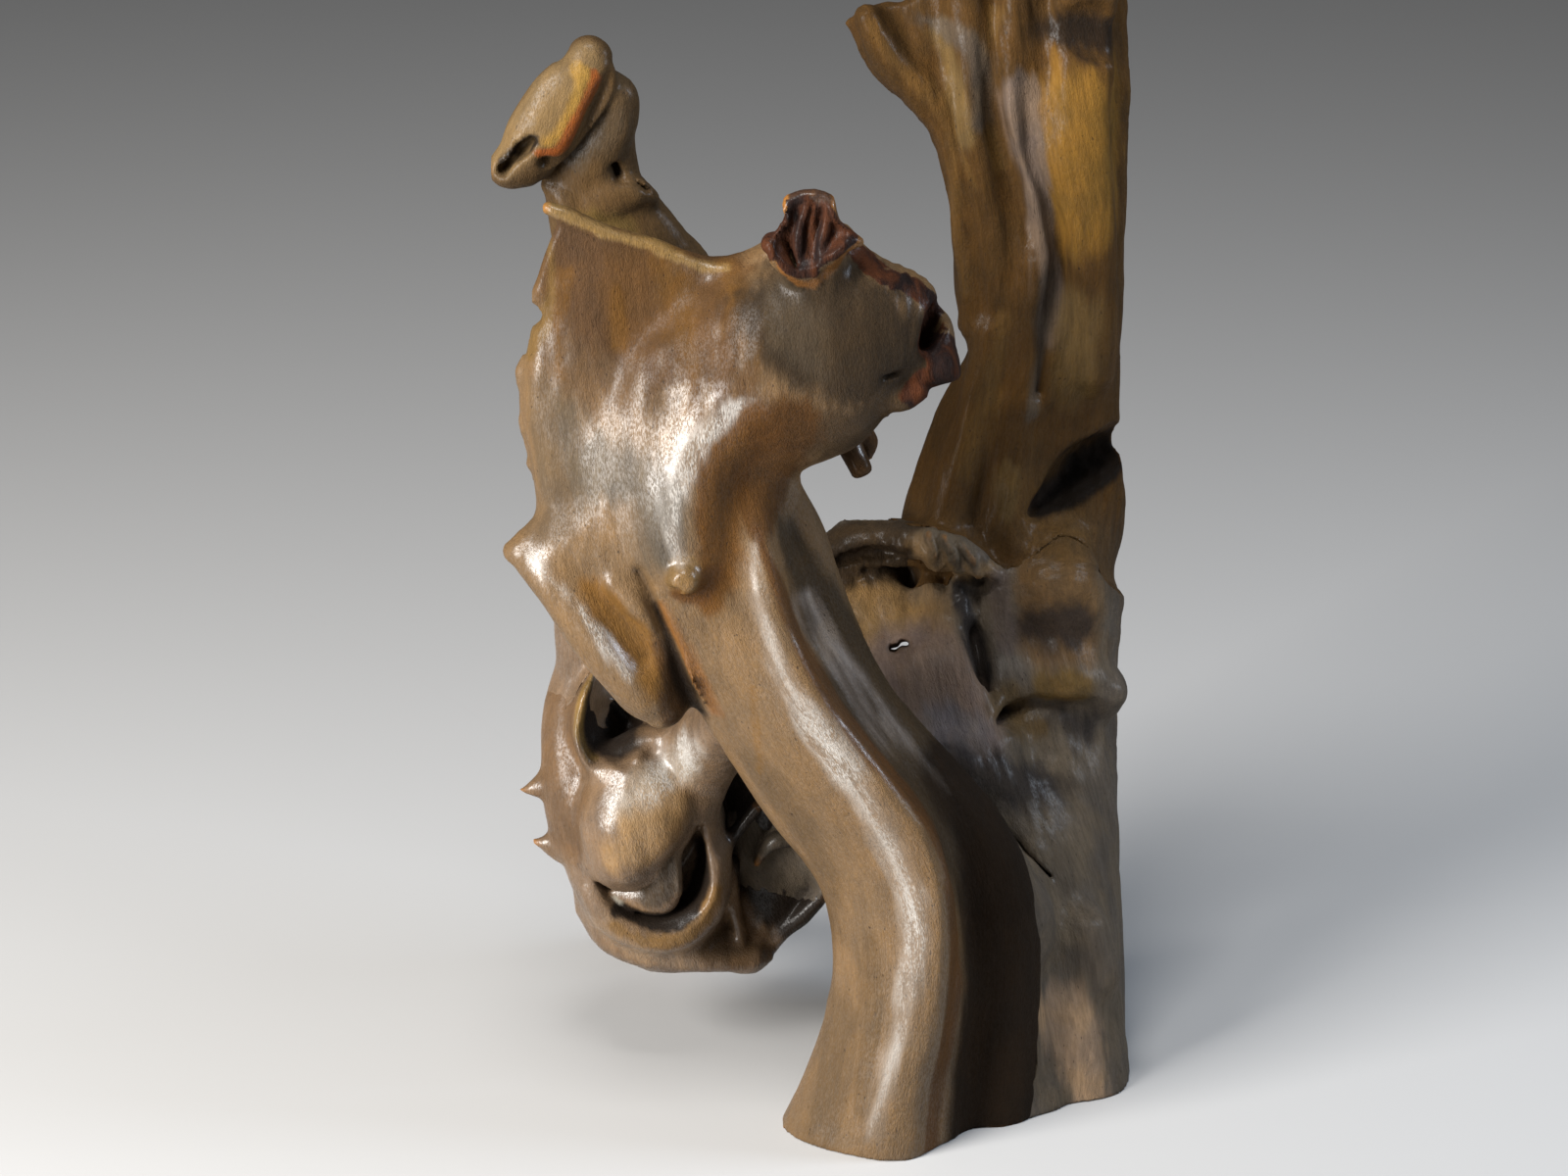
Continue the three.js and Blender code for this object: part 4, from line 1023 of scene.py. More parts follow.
burl_surface.stain_each(
    ((0.085, 0.05, 0.026, 0.2), burl_side, 0.9, 1.0, 6, 47),
    ((0.2, 0.16, 0.115, 0.8), nose_painted_highlight, 0.7, 1.0, 6, 35),
    ((0.235, 0.146, 0.066, 0.45), nose_ochre, 0.8, 1.2, 8, 36),
    ((0.175, 0.122, 0.08, 0.5), burl_low, 0.8, 1.0, 6, 48),
    ((0.13, 0.08, 0.021, 0.4), rim_yellow, 0.85, 0.8, 3, 37),
    ((0.125, 0.07, 0.022, 0.15), mouth_ochre, 0.8, 1.0, 4, 38),
    ((0.01, 0.0068, 0.0048, 0.25), sheet_dark_and_shade, 0.97, 0.3, 5, 31),
    ((0.07, 0.042, 0.021, 0.4), sheet_beige, 0.9, 0.8, 4, 32),
    ((0.042, 0.035, 0.027, 0.3), sheet_grey, 0.5, 0.8, 3, 34),
)
for number, hollow in enumerate(hollow_painted_shade):
    burl_surface.stain(SHADE_BLACK, hollow, 0.97, 0.5, 2, 39 + number)
tongue_tone = [[-60, -136, 84, 5, 6], [-61, -152, 80, 7, 6], [-70, -158, 84, 6, 6]]
# Painted highlight along the tongue's edge, and a painted glint on it.
tongue_edge_painted_highlight = [[-55, -135, 80, 1.6, 6], [-53.5, -146, 78, 1.8, 6], [-54, -156, 78, 1.6, 6]]
tongue_painted_glint = [[-87, -158, 90, 1.8, 5], [-84, -160, 90, 1.8, 5]]
burl_surface.stain_each(
    ((0.035, 0.024, 0.014, 0.4), tongue_tone, 0.9, 0.7, 3, 42),
    ((0.09, 0.066, 0.045, 0.5), tongue_edge_painted_highlight, 0.8, 0.8, 1.5, 45),
    ((0.2, 0.19, 0.17, 0.4), tongue_painted_glint, 0.9, 0.8, 1.5, 46),
)
# Rubbed pale: wear, and a painted highlight on the nose and the side.
nose_crest = [[-50, -82, 66, 7, 24], [-57, -94, 62, 10, 24], [-66, -108, 60, 7, 22]]
side_crest = [[-104, -100, 96, 2.5, 16], [-104, -116, 96, 2.5, 16]]
burl_surface.rub_and_paint_highlight(nose_crest, 1.0, 2.0, 5, 43)
burl_surface.rub_and_paint_highlight(side_crest, 0.4, 1.3, 5, 44)
burl_surface.raise_by(relief(burl_surface, 33, 1.6, 0.15))
burl_wood = varnished_wood("burl_wood", {"Figure": 0.6, "Lines": 0.2, "Relief": 0.8})
piece_of("hollow_burl", burl_surface, burl_wood)

# Seat stump: the dark mass at lower right on its sawn foot, with the hollowed seat, the shelf and the
# rolled lip at the back of the seat. The same wood, dark, with near-black painted shadow in its valleys,
# under its shelf and down its gully.
stump = Branch()
stump_body = [[118, -308, 132, 66, 66], [119, -230, 130, 60, 60], [122, -170, 132, 55, 54],
              [124, -110, 146, 50, 44], [125, -60, 170, 48, 34], [125, -5, 192, 52, 26]]
right_root = [[161, -308, 92, 28, 34], [155, -255, 92, 24, 28], [147, -205, 96, 20, 24],
              [141, -165, 106, 18, 22], [138, -130, 124, 16, 20]]
middle_fold = [[128, -308, 92, 24, 28], [126, -255, 88, 20, 26], [125, -205, 88, 17, 24],
               [126, -165, 94, 16, 22], [125, -135, 104, 14, 20], [115, -110, 116, 14, 18]]
root_lump = [[150, -260, 74, 14, 14], [142, -230, 78, 16, 15], [133, -205, 86, 14, 14]]
base_lumps = [
    [[112, -150, 62, 10, 12], [124, -164, 62, 12, 12], [128, -178, 66, 8, 10]],
    [[128, -262, 60, 12, 14], [120, -282, 58, 14, 14], [122, -306, 58, 14, 14]],
    [[152, -176, 84, 14, 14], [160, -196, 84, 12, 12]],
]
link = [[-10, -128, 146, 16, 16], [20, -128, 146, 24, 22], [55, -133, 140, 32, 27], [100, -140, 134, 36, 30]]
stump.grow_each((stump_body, 14, 12), (right_root, 18), (middle_fold, 20), (root_lump, 16))
for lump in base_lumps:
    stump.grow(lump, blend=14)
stump.grow(link, blend=12)

seat = [[84, -140, 106, 36, 26], [68, -100, 114, 42, 22], [58, -65, 128, 46, 16], [51, -32, 150, 46, 11],
        [51, -5, 180, 46, 9], [54, 5, 198, 42, 8]]
seat_dish = [[40, -45, 72, 10, 20], [46, -25, 104, 20, 24], [52, -5, 142, 26, 24]]
seat_ridge = [[76, 2, 180, 6, 8], [88, -28, 156, 8, 11], [98, -55, 138, 11, 14], [109, -80, 122, 14, 16]]
seat_crease_fold = [[102, 8, 182, 6, 9], [104, -20, 168, 7, 11], [106, -50, 152, 8, 12]]
seat_fold = [[114, 25, 186, 8, 10], [114, -10, 170, 10, 13], [112, -45, 156, 9, 13]]
seat_lump = [[140, 18, 186, 18, 16], [140, 0, 172, 24, 20], [142, -25, 164, 22, 18]]
shelf_roll = [[104, -62, 150, 7, 8], [122, -50, 148, 13, 14], [148, -48, 148, 15, 16],
              [164, -53, 150, 12, 13]]
dark_step = [[75, -82, 108, 8, 10], [91, -90, 106, 12, 13], [108, -100, 108, 12, 13]]
shelf_hollow = [[136, -84, 112, 6, 14], [149, -79, 112, 14, 20], [165, -82, 114, 16, 20]]
gully = [[100, -140, 62, 3, 9], [106, -165, 54, 4, 10], [115, -190, 52, 4, 9], [118, -215, 54, 3, 8]]
seat_holes = [
    [[56, -31, 110, 3.6, 2.4], [56, -31, 200, 3.6, 2.4]],
    [[61, -28.5, 110, 3.6, 2.4], [61, -28.5, 200, 3.6, 2.4]],
]
stump.grow(seat, blend=14)
stump.carve(seat_dish, blend=14)
stump.grow_each((seat_ridge, 12), (seat_crease_fold, 10), (seat_fold, 10), (seat_lump, 18), (shelf_roll, 16),
                (dark_step, 14))
stump.carve(shelf_hollow, blend=10)
stump.carve(gully, blend=8)
seat_valley = [[84, 12, 162, 3, 9], [92, 0, 160, 3.5, 10], [96, -20, 150, 3.5, 11], [100, -40, 140, 2.5, 8],
               [103, -54, 137, 1.5, 5]]
seat_crack = [[62, -72, 100, 1.5, 6], [76, -76, 97, 2, 7], [92, -80, 95, 2, 8], [110, -88, 94, 1.5, 7]]
shelf_under = [[106, -66, 130, 3, 10], [128, -64, 124, 5, 14], [158, -66, 126, 6, 14]]
base_crack = [[108, -122, 88, 1, 6], [122, -134, 84, 1.4, 8], [136, -146, 88, 1, 6]]
stump.carve_each((seat_valley, 8), (seat_crack, 3), (shelf_under, 6), (base_crack, 2.5))
for hole in seat_holes:
    stump.carve(hole, blend=1.5)

lip = [[13, 4, 188, 7, 10], [20, 15, 187, 10, 13], [34, 21, 186, 12, 15], [52, 23, 185, 12, 15],
       [72, 22, 184, 11, 14], [90, 19, 182, 11, 13], [104, 13, 180, 8, 9], [109, 6, 178, 4, 5]]
lip_leaf = [[62, 24, 176, 9, 8], [74, 21, 170, 11, 8], [86, 17, 167, 11, 7], [98, 12, 165, 9, 6],
            [107, 7, 166, 4, 4]]
leaf_rays = [
    [[74, 27, 163, 1.5, 3], [77, 18, 160, 1.8, 3], [78, 10, 162, 1.2, 2]],
    [[82, 26, 162, 1.5, 3], [87, 17, 158, 1.8, 3], [89, 9, 160, 1.2, 2]],
    [[90, 23, 161, 1.5, 3], [96, 15, 157, 1.8, 3], [99, 7, 160, 1.2, 2]],
]
lip_hollow = [[21, 8, 172, 3, 8], [34, 13, 170, 6, 14], [50, 14, 169, 7, 15], [66, 11, 168, 4, 9],
              [74, 8, 166, 2, 6]]
lip_gap = [[75, 4, 158, 3, 8], [88, 2, 156, 6, 16], [102, 0, 158, 6, 16]]
lip_knob = [[90, 4, 172, 6, 6], [94, 2, 172, 5, 6]]
low_lip_knob = [[88, -8, 164, 6, 7], [92, -14, 162, 5, 7]]
stump.grow(lip, blend=6)
stump.grow(lip_leaf, blend=6)
stump.carve(lip_hollow, blend=4)
stump.carve(lip_gap, blend=3)
for ray in leaf_rays:
    stump.grow(ray, blend=4)
stump.grow(lip_knob, blend=6)
stump.grow(low_lip_knob, blend=8)

stump_spine = [[80, 60, 220], [70, 0, 190], [90, -90, 130], [115, -180, 110], [120, -310, 110]]
stump_surface = Surface(stump, 14, stump_spine, (0.08, 0.066, 0.053, 0.06))
seat_top = [[40, 0, 150, 40, 40], [52, -20, 140, 36, 40]]
seat_slope = [[66, -40, 130, 30, 30], [84, -70, 120, 30, 30]]
lump_brown = [[140, 20, 170, 24, 30], [140, -25, 160, 24, 30]]
stump_surface.stain_each(
    ((0.18, 0.108, 0.043, 0.12), seat_top, 0.9, 0.6, 6, 41),
    ((0.168, 0.12, 0.1, 0.08), seat_slope, 0.9, 0.6, 6, 43),
    ((0.1, 0.055, 0.019, 0.06), lump_brown, 0.8, 0.6, 6, 45),
)
seam_wood = [[118, -104, 180, 64, 46], [117, -62, 196, 64, 44], [121, -10, 206, 66, 36],
             [126, 24, 202, 66, 26]]
# Painted reflection: a bluish grey sheen on the slope below the seat, where the cool light would reflect.
seat_painted_sheen = [[78, -72, 100, 16, 20], [96, -76, 100, 14, 20]]
lump_top = [[136, 34, 172, 30, 16], [146, 38, 178, 26, 16]]
# Painted shade: near black in the hollow under the lip.
under_lip_painted_shade = [[18, 8, 180, 14, 16], [34, 14, 178, 14, 18], [60, 14, 176, 14, 16]]
leaf_pale = [[74, 20, 170, 8, 10], [90, 11, 166, 10, 8], [104, 8, 164, 6, 8]]
# Pale brown on the low lump at the right: its own brown, lightened as a painted pool of light.
low_lump_brown_and_light = [[140, -214, 60, 12, 20], [152, -240, 56, 14, 20], [156, -262, 56, 12, 20]]
shelf_yellow = [[132, -50, 132, 10, 8], [152, -52, 132, 12, 8]]
stump_surface.stain_each(
    ((0.058, 0.036, 0.018, 0.06), seam_wood, 0.95, 0.9, 10, 44),
    ((0.075, 0.042, 0.014, 0.06), lump_top, 0.9, 1.4, 6, 42),
    ((0.13, 0.118, 0.126, 0.06), seat_painted_sheen, 0.75, 0.8, 8, 46),
    ((0.016, 0.01, 0.0055, 0.15), under_lip_painted_shade, 0.9, 0.6, 4, 48),
    ((0.15, 0.098, 0.05, 0.15), leaf_pale, 0.9, 0.6, 3, 49),
    ((0.26, 0.18, 0.12, 0.1), low_lump_brown_and_light, 0.85, 1.0, 10, 50),
    ((0.1, 0.06, 0.015, 0.1), shelf_yellow, 0.8, 1.0, 4, 52),
)
stump_shadows = [
    [[90, 2, 164, 4, 22], [96, -20, 150, 6, 26], [100, -42, 138, 5, 26]],
    [[128, -22, 140, 10, 24], [150, -22, 140, 14, 24]],
    [[84, -84, 96, 8, 18], [104, -96, 92, 14, 22], [130, -104, 90, 16, 26], [156, -104, 90, 16, 26]],
    [[140, -70, 116, 8, 24], [156, -78, 116, 14, 26]],
    [[100, -128, 60, 5, 20], [108, -165, 56, 6, 20], [116, -200, 54, 6, 20]],
]
lip_roll = [[13, 12, 180, 8, 20], [34, 25, 178, 14, 12], [60, 29, 176, 14, 10], [84, 27, 176, 10, 8]]
fold_grey = [[110, 4, 160, 6, 20], [113, -28, 150, 7, 20]]
shelf_olive = [[112, -58, 126, 10, 20], [128, -72, 118, 8, 20]]
seat_line = [[35, -33, 110, 1, 40], [41, -36.5, 110, 1.4, 40], [53, -38.5, 110, 1, 40]]
pale_crack = [[109, -122, 84, 1.2, 20], [124, -134, 80, 1.6, 20], [138, -147, 84, 1.2, 20]]
stump_surface.stain_each(
    ((0.08, 0.062, 0.055, 0.1), fold_grey, 0.8, 0.8, 4, 94),
    ((0.07, 0.045, 0.018, 0.08), shelf_olive, 0.8, 0.8, 5, 95),
    ((0.024, 0.015, 0.008, 0.12), lip_roll, 0.85, 0.8, 4, 96),
    (ORANGE, seat_line, 0.7, 0.8, 2, 97),
)
for number, shadow in enumerate(stump_shadows):
    stump_surface.stain((0.013, 0.011, 0.012, 0.08), shadow, 0.85, 0.9, 6, 98 + number)
stump_surface.rub_and_paint_highlight(pale_crack, 0.35, 0.8, 2, 110)
ragged_lip = [[20, 8, 176, 12, 26], [44, 14, 174, 14, 28], [70, 14, 166, 14, 28], [96, 4, 162, 14, 26]]
BARK_LUMP = 5.0
BARK_CRUMB = 2.6
bark = lattice_noise(stump_surface.points, BARK_LUMP, 91)
bark = bark + 0.7 * lattice_noise(stump_surface.points, BARK_CRUMB, 92) - 0.85
ragged = 2.6 * bark * stump_surface.cover(ragged_lip, 0.8, 3, 93)
stump_surface.raise_by(relief(stump_surface, 47, 3.0, 0.8) + ragged)
stump_wood = varnished_wood("stump_wood", {"Figure": 0.6, "Lines": 0.25, "Relief": 1.0})
piece_of("seat_stump", stump_surface, stump_wood)

# Back board: the tall ribbed root that rises at the right from behind the seat, rounded off at its
# top. The same wood with a duller varnish.
board = Branch()
board_body = [[118, -100, 160, 30, 18], [117, -70, 178, 42, 22], [115, -45, 193, 50, 24],
              [115, -20, 204, 54, 24], [115, 20, 206, 60, 22], [120, 50, 208, 59, 20],
              [125, 80, 208, 52, 18], [132, 115, 208, 43, 18], [134.5, 135, 208, 40, 18],
              [134, 165, 208, 41, 17], [133, 195, 208, 43, 17], [131, 225, 208, 47, 17],
              [125, 250, 208, 55, 17], [117, 272, 209, 65, 16], [109, 292, 210, 74, 14],
              [103, 311, 212, 79, 11]]
left_edge = [[42, 291, 198, 6, 7], [54, 271, 198, 8, 9], [71, 252, 198, 8, 9], [83, 234, 198, 7, 9],
             [88, 210, 198, 6, 9], [91, 170, 198, 6, 8], [94, 135, 199, 6, 8]]
left_rib = [[92, 308, 195, 10, 7], [94, 270, 192, 9, 8], [95, 240, 192, 8, 8], [100, 212, 192, 8, 8],
            [106, 180, 192, 8, 8], [108, 150, 193, 7, 7]]
middle_rib = [[120, 308, 193, 9, 7], [120, 270, 190, 8, 8], [122, 235, 189, 9, 8], [129, 205, 189, 9, 8],
              [130, 175, 189, 8, 8], [124, 140, 190, 9, 8], [123, 100, 190, 10, 8]]
right_rib = [[155, 306, 190, 16, 8], [154, 270, 188, 15, 8], [152, 225, 187, 15, 9], [155, 185, 188, 13, 9],
             [159, 145, 190, 10, 9], [158, 110, 192, 8, 8]]
low_rib = [[105, 130, 192, 8, 8], [98, 90, 190, 10, 9], [88, 55, 188, 12, 10], [79, 20, 188, 12, 9]]
centre_rib = [[118, 90, 190, 8, 8], [117, 60, 188, 8, 9], [115, 25, 184, 8, 9]]
board.grow_each((board_body, 12, 6), (left_edge, 12), (left_rib, 12), (middle_rib, 12), (right_rib, 14),
                (low_rib, 14), (centre_rib, 12))

groove_a = [[72, 306, 184, 1.5, 4], [80, 280, 182, 2, 6], [86, 256, 182, 2, 6], [89, 228, 183, 2, 5],
            [95, 206, 178, 1, 3]]
groove_b = [[104, 306, 184, 1.5, 3], [103, 270, 183, 2, 4], [108, 236, 183, 2, 5], [117, 213, 183, 2, 5],
            [124, 186, 183, 2, 4], [127, 172, 177, 1, 3]]
groove_c = [[128, 300, 184, 3, 4], [124, 262, 182, 4, 5], [126, 222, 182, 2.5, 6], [135, 195, 182, 2.5, 6],
            [140, 168, 183, 3, 6], [134, 132, 185, 2.5, 5], [129, 100, 188, 2, 4]]
black_patch = [[140, 286, 182, 8, 6], [155, 285, 182, 14, 8], [170, 280, 184, 14, 8]]
board_hollow = [[127, 38, 184, 4, 14], [140, 48, 184, 10, 27], [154, 59, 184, 14, 31],
                [172, 69, 184, 15, 30]]
board.carve_each((groove_a, 8), (groove_b, 8), (groove_c, 9), (black_patch, 6), (board_hollow, 2.5))
top_notches = [
    [[58, 330, 190, 7, 10], [60, 302, 222, 5, 9], [62, 280, 236, 3, 6]],
    [[98, 336, 186, 9, 10], [100, 312, 222, 7, 10], [98, 284, 238, 4, 7]],
    [[150, 334, 214, 10, 9], [152, 300, 236, 8, 9], [148, 250, 236, 4, 6]],
    [[120, 290, 236, 4, 6], [118, 200, 236, 5, 7], [122, 120, 236, 4, 6], [118, 40, 240, 4, 6]],
]
for notch in top_notches:
    board.carve(notch, blend=10)

board_spine = [[110, 320, 210], [122, 250, 208], [133, 190, 208], [133, 130, 208], [122, 60, 208],
               [112, -20, 204]]
board_surface = Surface(board, 12, board_spine, (0.05, 0.025, 0.006, 0.06))
board_ochre = [[150, 250, 190, 22, 30], [150, 190, 190, 20, 30]]
board_purple = [[120, 250, 186, 12, 20], [124, 226, 186, 10, 20], [130, 196, 186, 8, 20],
                [134, 168, 186, 6, 20], [138, 130, 186, 8, 20]]
board_edge = [[44, 288, 192, 3, 12], [58, 268, 190, 3.5, 12], [76, 250, 190, 3.5, 12], [86, 228, 190, 3, 12],
              [88, 190, 190, 3, 12], [92, 150, 190, 3, 12]]
board_streaks = [
    [[84, 262, 190, 3, 14], [90, 225, 190, 2.5, 14], [98, 205, 190, 2, 14]],
    [[106, 292, 190, 4, 14], [100, 250, 190, 3, 14], [112, 215, 190, 3, 14]],
    [[112, 140, 190, 5, 14], [104, 100, 188, 6, 14], [92, 60, 186, 6, 14]],
    [[146, 128, 188, 10, 14], [150, 110, 188, 10, 14]],
]
# Painted shade: near black in the carved patch at the top right.
board_black_painted_shade = [[134, 284, 184, 8, 12], [152, 283, 184, 12, 14], [170, 278, 184, 12, 14]]
board_surface.stain_each(
    ((0.14, 0.074, 0.013, 0.08), board_ochre, 0.9, 0.9, 14, 51),
    ((0.1, 0.074, 0.06, 0.08), board_purple, 0.9, 0.8, 8, 53),
    ((0.085, 0.045, 0.012, 0.12), board_edge, 0.7, 1.2, 4, 54),
)
for number, streak in enumerate(board_streaks):
    board_surface.stain((0.08, 0.044, 0.012, 0.06), streak, 0.75, 1.3, 6, 56 + number)
board_surface.stain(SHADE_BLACK, board_black_painted_shade, 0.85, 0.8, 6, 64)
# Painted shade: near black inside the board's hollow.
board_hollow_painted_shade = [[131, 42, 190, 6, 20], [142, 48, 190, 11, 24], [154, 58, 190, 15, 28],
                [170, 67, 190, 15, 28]]
board_olives = [
    [[78, 284, 190, 7, 16], [88, 258, 190, 6, 16], [92, 232, 190, 4, 16]],
    [[150, 140, 190, 14, 20], [148, 104, 190, 12, 20]],
    [[116, 60, 184, 6, 16], [114, 40, 182, 6, 16]],
]
board_greys = [
    [[72, 288, 190, 4, 16], [98, 276, 190, 6, 16], [100, 240, 190, 5, 16]],
    [[134, 160, 190, 5, 20], [130, 120, 190, 5, 20], [126, 92, 190, 4, 20]],
]
for number, olive in enumerate(board_olives):
    board_surface.stain((0.105, 0.068, 0.026, 0.08), olive, 0.75, 1.2, 7, 120 + number)
for number, grey in enumerate(board_greys):
    board_surface.stain((0.06, 0.047, 0.036, 0.1), grey, 0.75, 1.2, 6, 126 + number)
board_surface.stain_each(
    ((0.058, 0.036, 0.018, 0.06), seam_wood, 0.95, 0.9, 10, 44),
    ((0.075, 0.042, 0.014, 0.06), lump_top, 0.9, 1.4, 6, 42),
    ((0.004, 0.0025, 0.0015, 0.0), board_hollow_painted_shade, 0.97, 0.4, 3, 130),
)
board_surface.raise_by(relief(board_surface, 55, 3.2, 1.2))
board_wood = varnished_wood("board_wood", {"Figure": 0.6, "Lines": 0.25, "Relief": 0.8})
piece_of("back_board", board_surface, board_wood)

# Rear finger: the limb behind the crown that ends in a hammer-like head, worn smooth. It forks from
# the burl and the back of the trunk.
finger = Branch()
finger_stem = [[-98, -88, 140, 10, 10], [-102, -60, 132, 11, 12], [-103, -20, 121, 15, 15],
               [-92, 30, 114, 22, 16], [-84, 85, 110, 30, 17], [-78, 130, 106, 36, 18],
               [-80, 162, 102, 36, 17], [-90, 186, 99, 31, 16], [-97, 204, 96, 26, 15],
               [-98, 220, 94, 24, 15], [-95, 240, 92, 19, 14]]
shoulder = [[-60, 178, 108, 8, 10], [-50, 166, 110, 12, 12], [-45, 146, 110, 14, 13],
            [-52, 120, 108, 12, 12], [-64, 92, 108, 10, 10]]
head = [[-140, 214, 77, 9, 10], [-127.5, 227, 74, 17, 11], [-114.5, 245, 73, 19, 11],
        [-102.5, 260, 75, 17, 11], [-99, 272, 78, 11.5, 10]]
head_end = [[-140, 215, 76, 9, 10], [-132, 213, 78, 8, 9], [-124, 216, 84, 7, 9]]
knob = [[-95, 256, 86, 12, 12], [-87, 251, 86, 12, 12], [-86, 242, 87, 12, 12], [-91, 230, 88, 13, 13],
        [-98, 218, 90, 14, 12]]
plate = [[-100, 192, 86, 8, 6], [-88, 200, 84, 10, 6], [-76, 202, 86, 8, 6], [-68, 200, 92, 4, 5]]
finger_fold = [[-120, 205, 92, 3, 6], [-112, 198, 86, 6, 6], [-108, 188, 84, 5, 6]]
finger.grow_each((finger_stem, 12), (shoulder, 8), (head, 5), (head_end, 6), (plate, 4), (finger_fold, 5))

head_step = [[-86, 266, 52, 7.5, 22], [-88.5, 258, 52, 7, 20], [-99, 235, 52, 7, 20], [-107, 219, 52, 7, 20],
             [-113, 213, 52, 6, 20], [-124, 213, 54, 6, 18]]
head_pocket = [[-143, 214, 70, 3.4, 9], [-138.5, 218, 67, 2.2, 8], [-134, 223, 66, 3.8, 9],
               [-129, 228, 64, 2.4, 8]]
finger_pit = [[-86, 213, 78, 3, 9], [-84, 209, 80, 3, 8]]
finger_crack = [[-84, 207, 78, 1.2, 5], [-76, 206, 80, 1, 4], [-70, 203, 86, 0.8, 4]]
finger.carve(head_step, blend=1)
finger.carve(head_pocket, blend=2)
finger.grow(knob, blend=3)
finger.carve(finger_pit, blend=2)
finger.carve(finger_crack, blend=2)

finger_spine = [[-101, -90, 132], [-100, 0, 118], [-84, 85, 110], [-80, 160, 102], [-97, 210, 95],
                [-92, 250, 90]]
finger_surface = Surface(finger, 10, finger_spine, (0.057, 0.033, 0.013, 0.08))
face_beige = [[-144, 218, 64, 10, 16], [-122, 248, 62, 14, 16], [-104, 268, 64, 11, 14]]
finger_low = [[-104, -100, 130, 30, 34], [-104, -62, 128, 28, 34], [-103, -30, 122, 24, 30],
              [-102, -8, 120, 18, 24]]
head_dark = [[-99, 272, 84, 8, 10], [-90, 254, 86, 14, 14], [-92, 236, 86, 13, 14], [-104, 222, 88, 10, 12]]
face_orange = [[-97, 262, 62, 2.5, 10], [-97, 256, 62, 3.5, 10], [-103, 243, 62, 3.5, 10],
               [-110, 230, 62, 3.5, 10], [-115, 222.5, 62, 3, 10], [-125, 222, 64, 2, 8]]
web_yellow = [[-98, 186, 82, 8, 14], [-84, 182, 84, 9, 14]]
face_yellow = [[-106, 264, 62, 4, 9], [-102, 258, 62, 5, 9], [-106, 246, 62, 4, 9], [-113, 234, 62, 3.5, 9],
               [-120, 227, 62, 3.5, 9]]
# Painted shade: near black in the head's pocket and in the small pit.
pocket_painted_shade = [[-143, 216, 66, 3.5, 10], [-136, 222, 64, 4, 10], [-128, 228, 62, 3, 9]]
finger_surface.stain_each(
    ((0.112, 0.071, 0.041, 0.55), finger_low, 1.0, 0.7, 8, 65),
    ((0.045, 0.03, 0.016, 0.12), head_dark, 0.9, 0.5, 4, 66),
    ((0.085, 0.055, 0.016, 0.15), web_yellow, 0.8, 1.0, 5, 70),
    (SHADE_BLACK, finger_pit, 0.9, 1.0, 1.5, 72),
    ((0.112, 0.074, 0.034, 0.12), face_beige, 0.9, 0.6, 3, 61),
    ((0.2, 0.115, 0.02, 0.2), face_yellow, 0.8, 0.9, 3, 67),
    ((0.15, 0.04, 0.006, 0.2), face_orange, 0.95, 0.6, 1.5, 68),
    (SHADE_BLACK, pocket_painted_shade, 0.95, 0.5, 1.5, 69),
)
finger_surface.raise_by(relief(finger_surface, 63, 1.6, 0.3))
finger_wood = varnished_wood("finger_wood", {"Figure": 0.5, "Lines": 0.2, "Relief": 0.8})
piece_of("rear_finger", finger_surface, finger_wood)

# Hooked twig: the short stub of a twig behind the lobe, bent down like a hook, with its stained bark
# rubbed away on the outside of the bend.
twig = Branch()
hook = [[10, 90, 52, 14, 12], [22, 81, 64, 10, 9], [31, 76, 66, 7, 7], [36, 67, 62, 6, 6],
        [40, 59, 58, 5.5, 5.5]]
stub = [[25, 80, 74, 9, 8], [36, 81, 76, 7, 7], [43, 75, 76, 5, 5], [42, 69, 76, 4, 4]]
twig.grow(hook, blend=5, tip=2)
twig.grow(stub, blend=5)
twig_surface = Surface(twig, 6, hook, (0.055, 0.029, 0.012, 0.06))
outer_bend = [[24, 86, 56, 4, 12], [33, 80, 56, 3.5, 12], [40, 68, 52, 3, 10]]
twig_surface.rub_and_paint_highlight(outer_bend, 0.5, 1.0, 3, 76)
twig_surface.raise_by(relief(twig_surface, 71, 0.8, 0.3))
twig_wood = varnished_wood("twig_wood", {"Figure": 0.6, "Lines": 0.25, "Relief": 1.0})
piece_of("hooked_twig", twig_surface, twig_wood)

# Studio: a plain pale floor, one tall soft light at the left in front, a small one above, a faint
# cool one at the right, and the camera that looks 20 degrees down on the root.
FLOOR_SIZE = 12.0
LENS = 108.0
SENSOR = 36.0

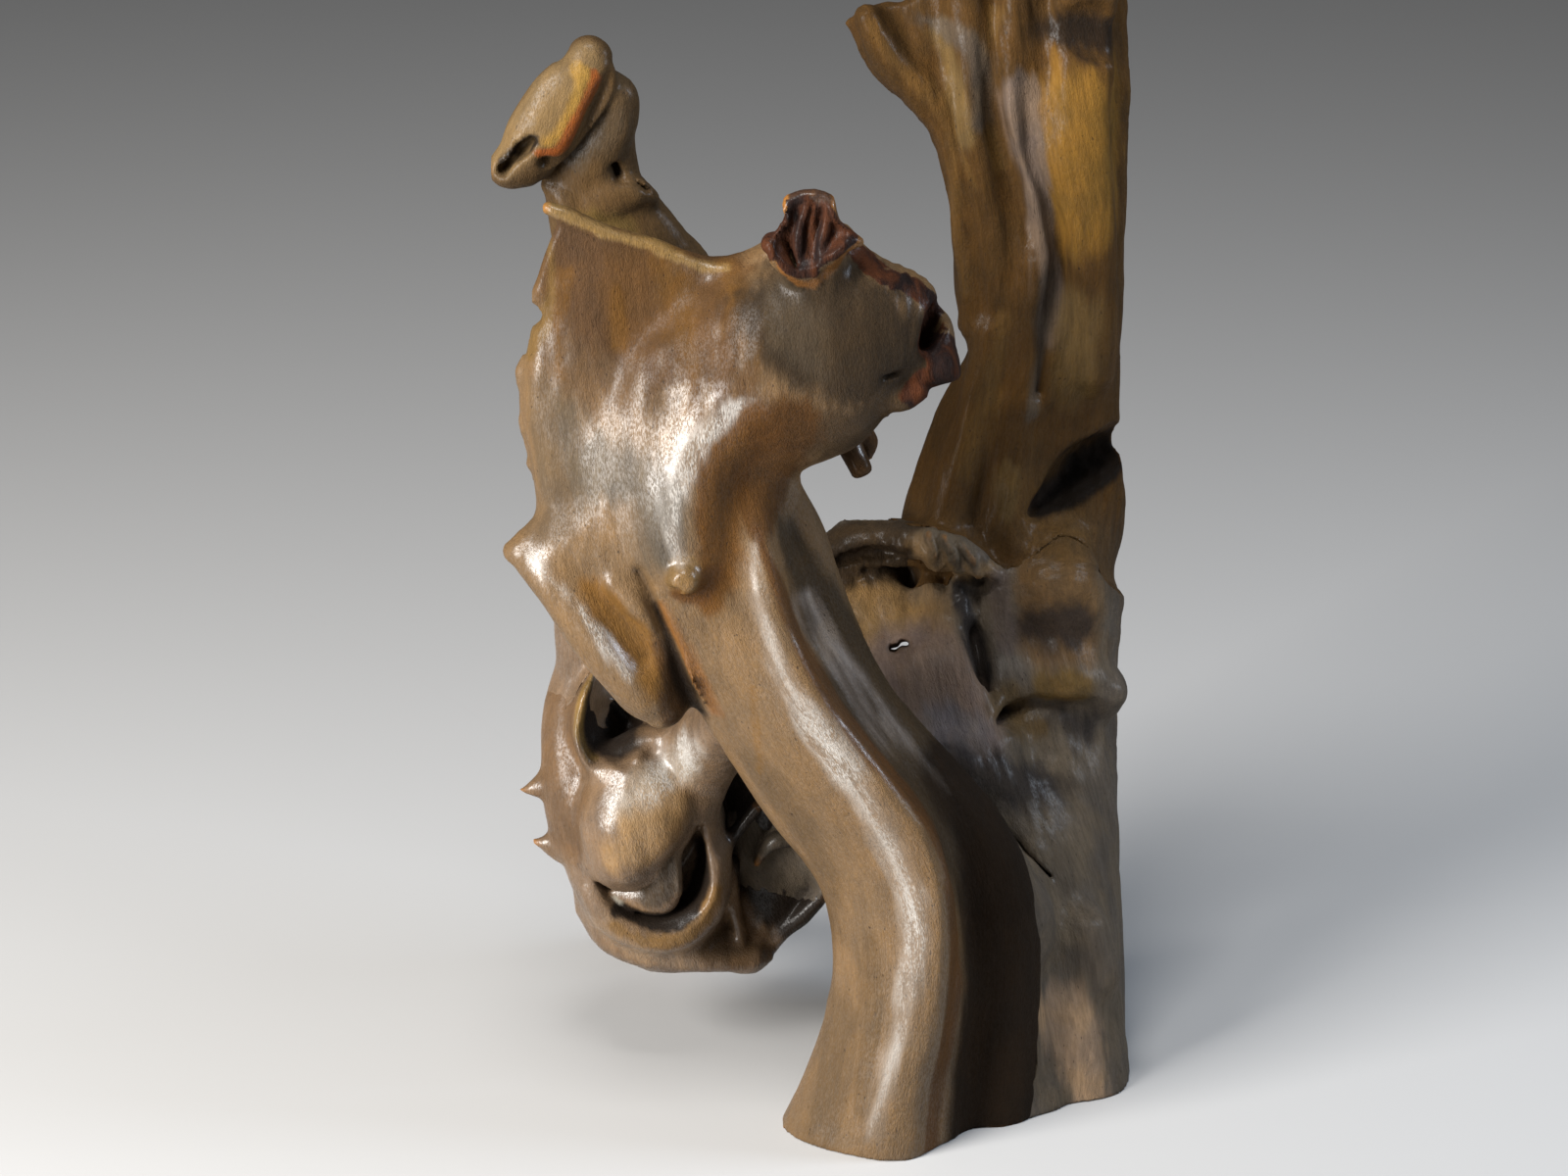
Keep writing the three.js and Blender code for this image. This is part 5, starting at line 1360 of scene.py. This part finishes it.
floor_mesh = bpy.data.meshes.new("floor")
half = FLOOR_SIZE / 2
floor_corners = [(-half, -half, 0), (half, -half, 0), (half, half, 0), (-half, half, 0)]
floor_mesh.from_pydata(floor_corners, [], [(0, 1, 2, 3)])
floor = bpy.data.objects.new("floor", floor_mesh)
bpy.context.scene.collection.objects.link(floor)
floor_paint = bpy.data.materials.new("floor_paint")
floor_paint.use_nodes = True
floor_shader = floor_paint.node_tree.nodes["Principled BSDF"]
floor_shader.inputs["Base Color"].default_value = (0.43, 0.43, 0.43, 1)
floor_shader.inputs["Roughness"].default_value = 0.9
floor_mesh.materials.append(floor_paint)

world = bpy.data.worlds.new("studio")
bpy.context.scene.world = world
world.use_nodes = True
sky = world.node_tree.nodes["Background"]
sky.inputs["Color"].default_value = (0.93, 0.96, 1.0, 1)
sky.inputs["Strength"].default_value = 0.08


def soft_light(name, place, size, power, colour):
    """A rectangular area light at a place, so wide and so high, aimed at the root."""
    lamp = bpy.data.lights.new(name, "AREA")
    lamp.shape = "RECTANGLE"
    lamp.size, lamp.size_y = size
    lamp.energy = power
    lamp.color = colour
    holder = bpy.data.objects.new(name, lamp)
    bpy.context.scene.collection.objects.link(holder)
    holder.location = place
    holder.rotation_euler = (Vector((0, 0, 0.3)) - Vector(place)).to_track_quat("-Z", "Y").to_euler()


soft_light("key_light", (-1.62, -1.4, 0.95), (0.9, 1.8), 150, (1.0, 0.97, 0.93))
soft_light("top_light", (-0.2, -0.7, 1.9), (0.5, 0.5), 20, (1.0, 0.98, 0.95))
soft_light("cool_light", (1.5, -0.2, 1.1), (0.5, 0.5), 18, (0.76, 0.86, 1.0))

camera_data = bpy.data.cameras.new("camera")
camera_data.lens = LENS
camera_data.sensor_width = SENSOR
camera = bpy.data.objects.new("camera", camera_data)
bpy.context.scene.collection.objects.link(camera)
eye_back = EYE_DISTANCE * np.cos(VIEW_TILT)
eye_height = SHEET_MIDDLE_HEIGHT + EYE_DISTANCE * np.sin(VIEW_TILT)
eye = np.array([0.0, -eye_back, eye_height])
camera.location = (eye + SHEET_TO_FRAME) * MILLIMETRE
camera.rotation_euler = (np.pi / 2 - VIEW_TILT, 0, 0)
bpy.context.scene.camera = camera
bpy.context.scene.view_settings.view_transform = "Standard"
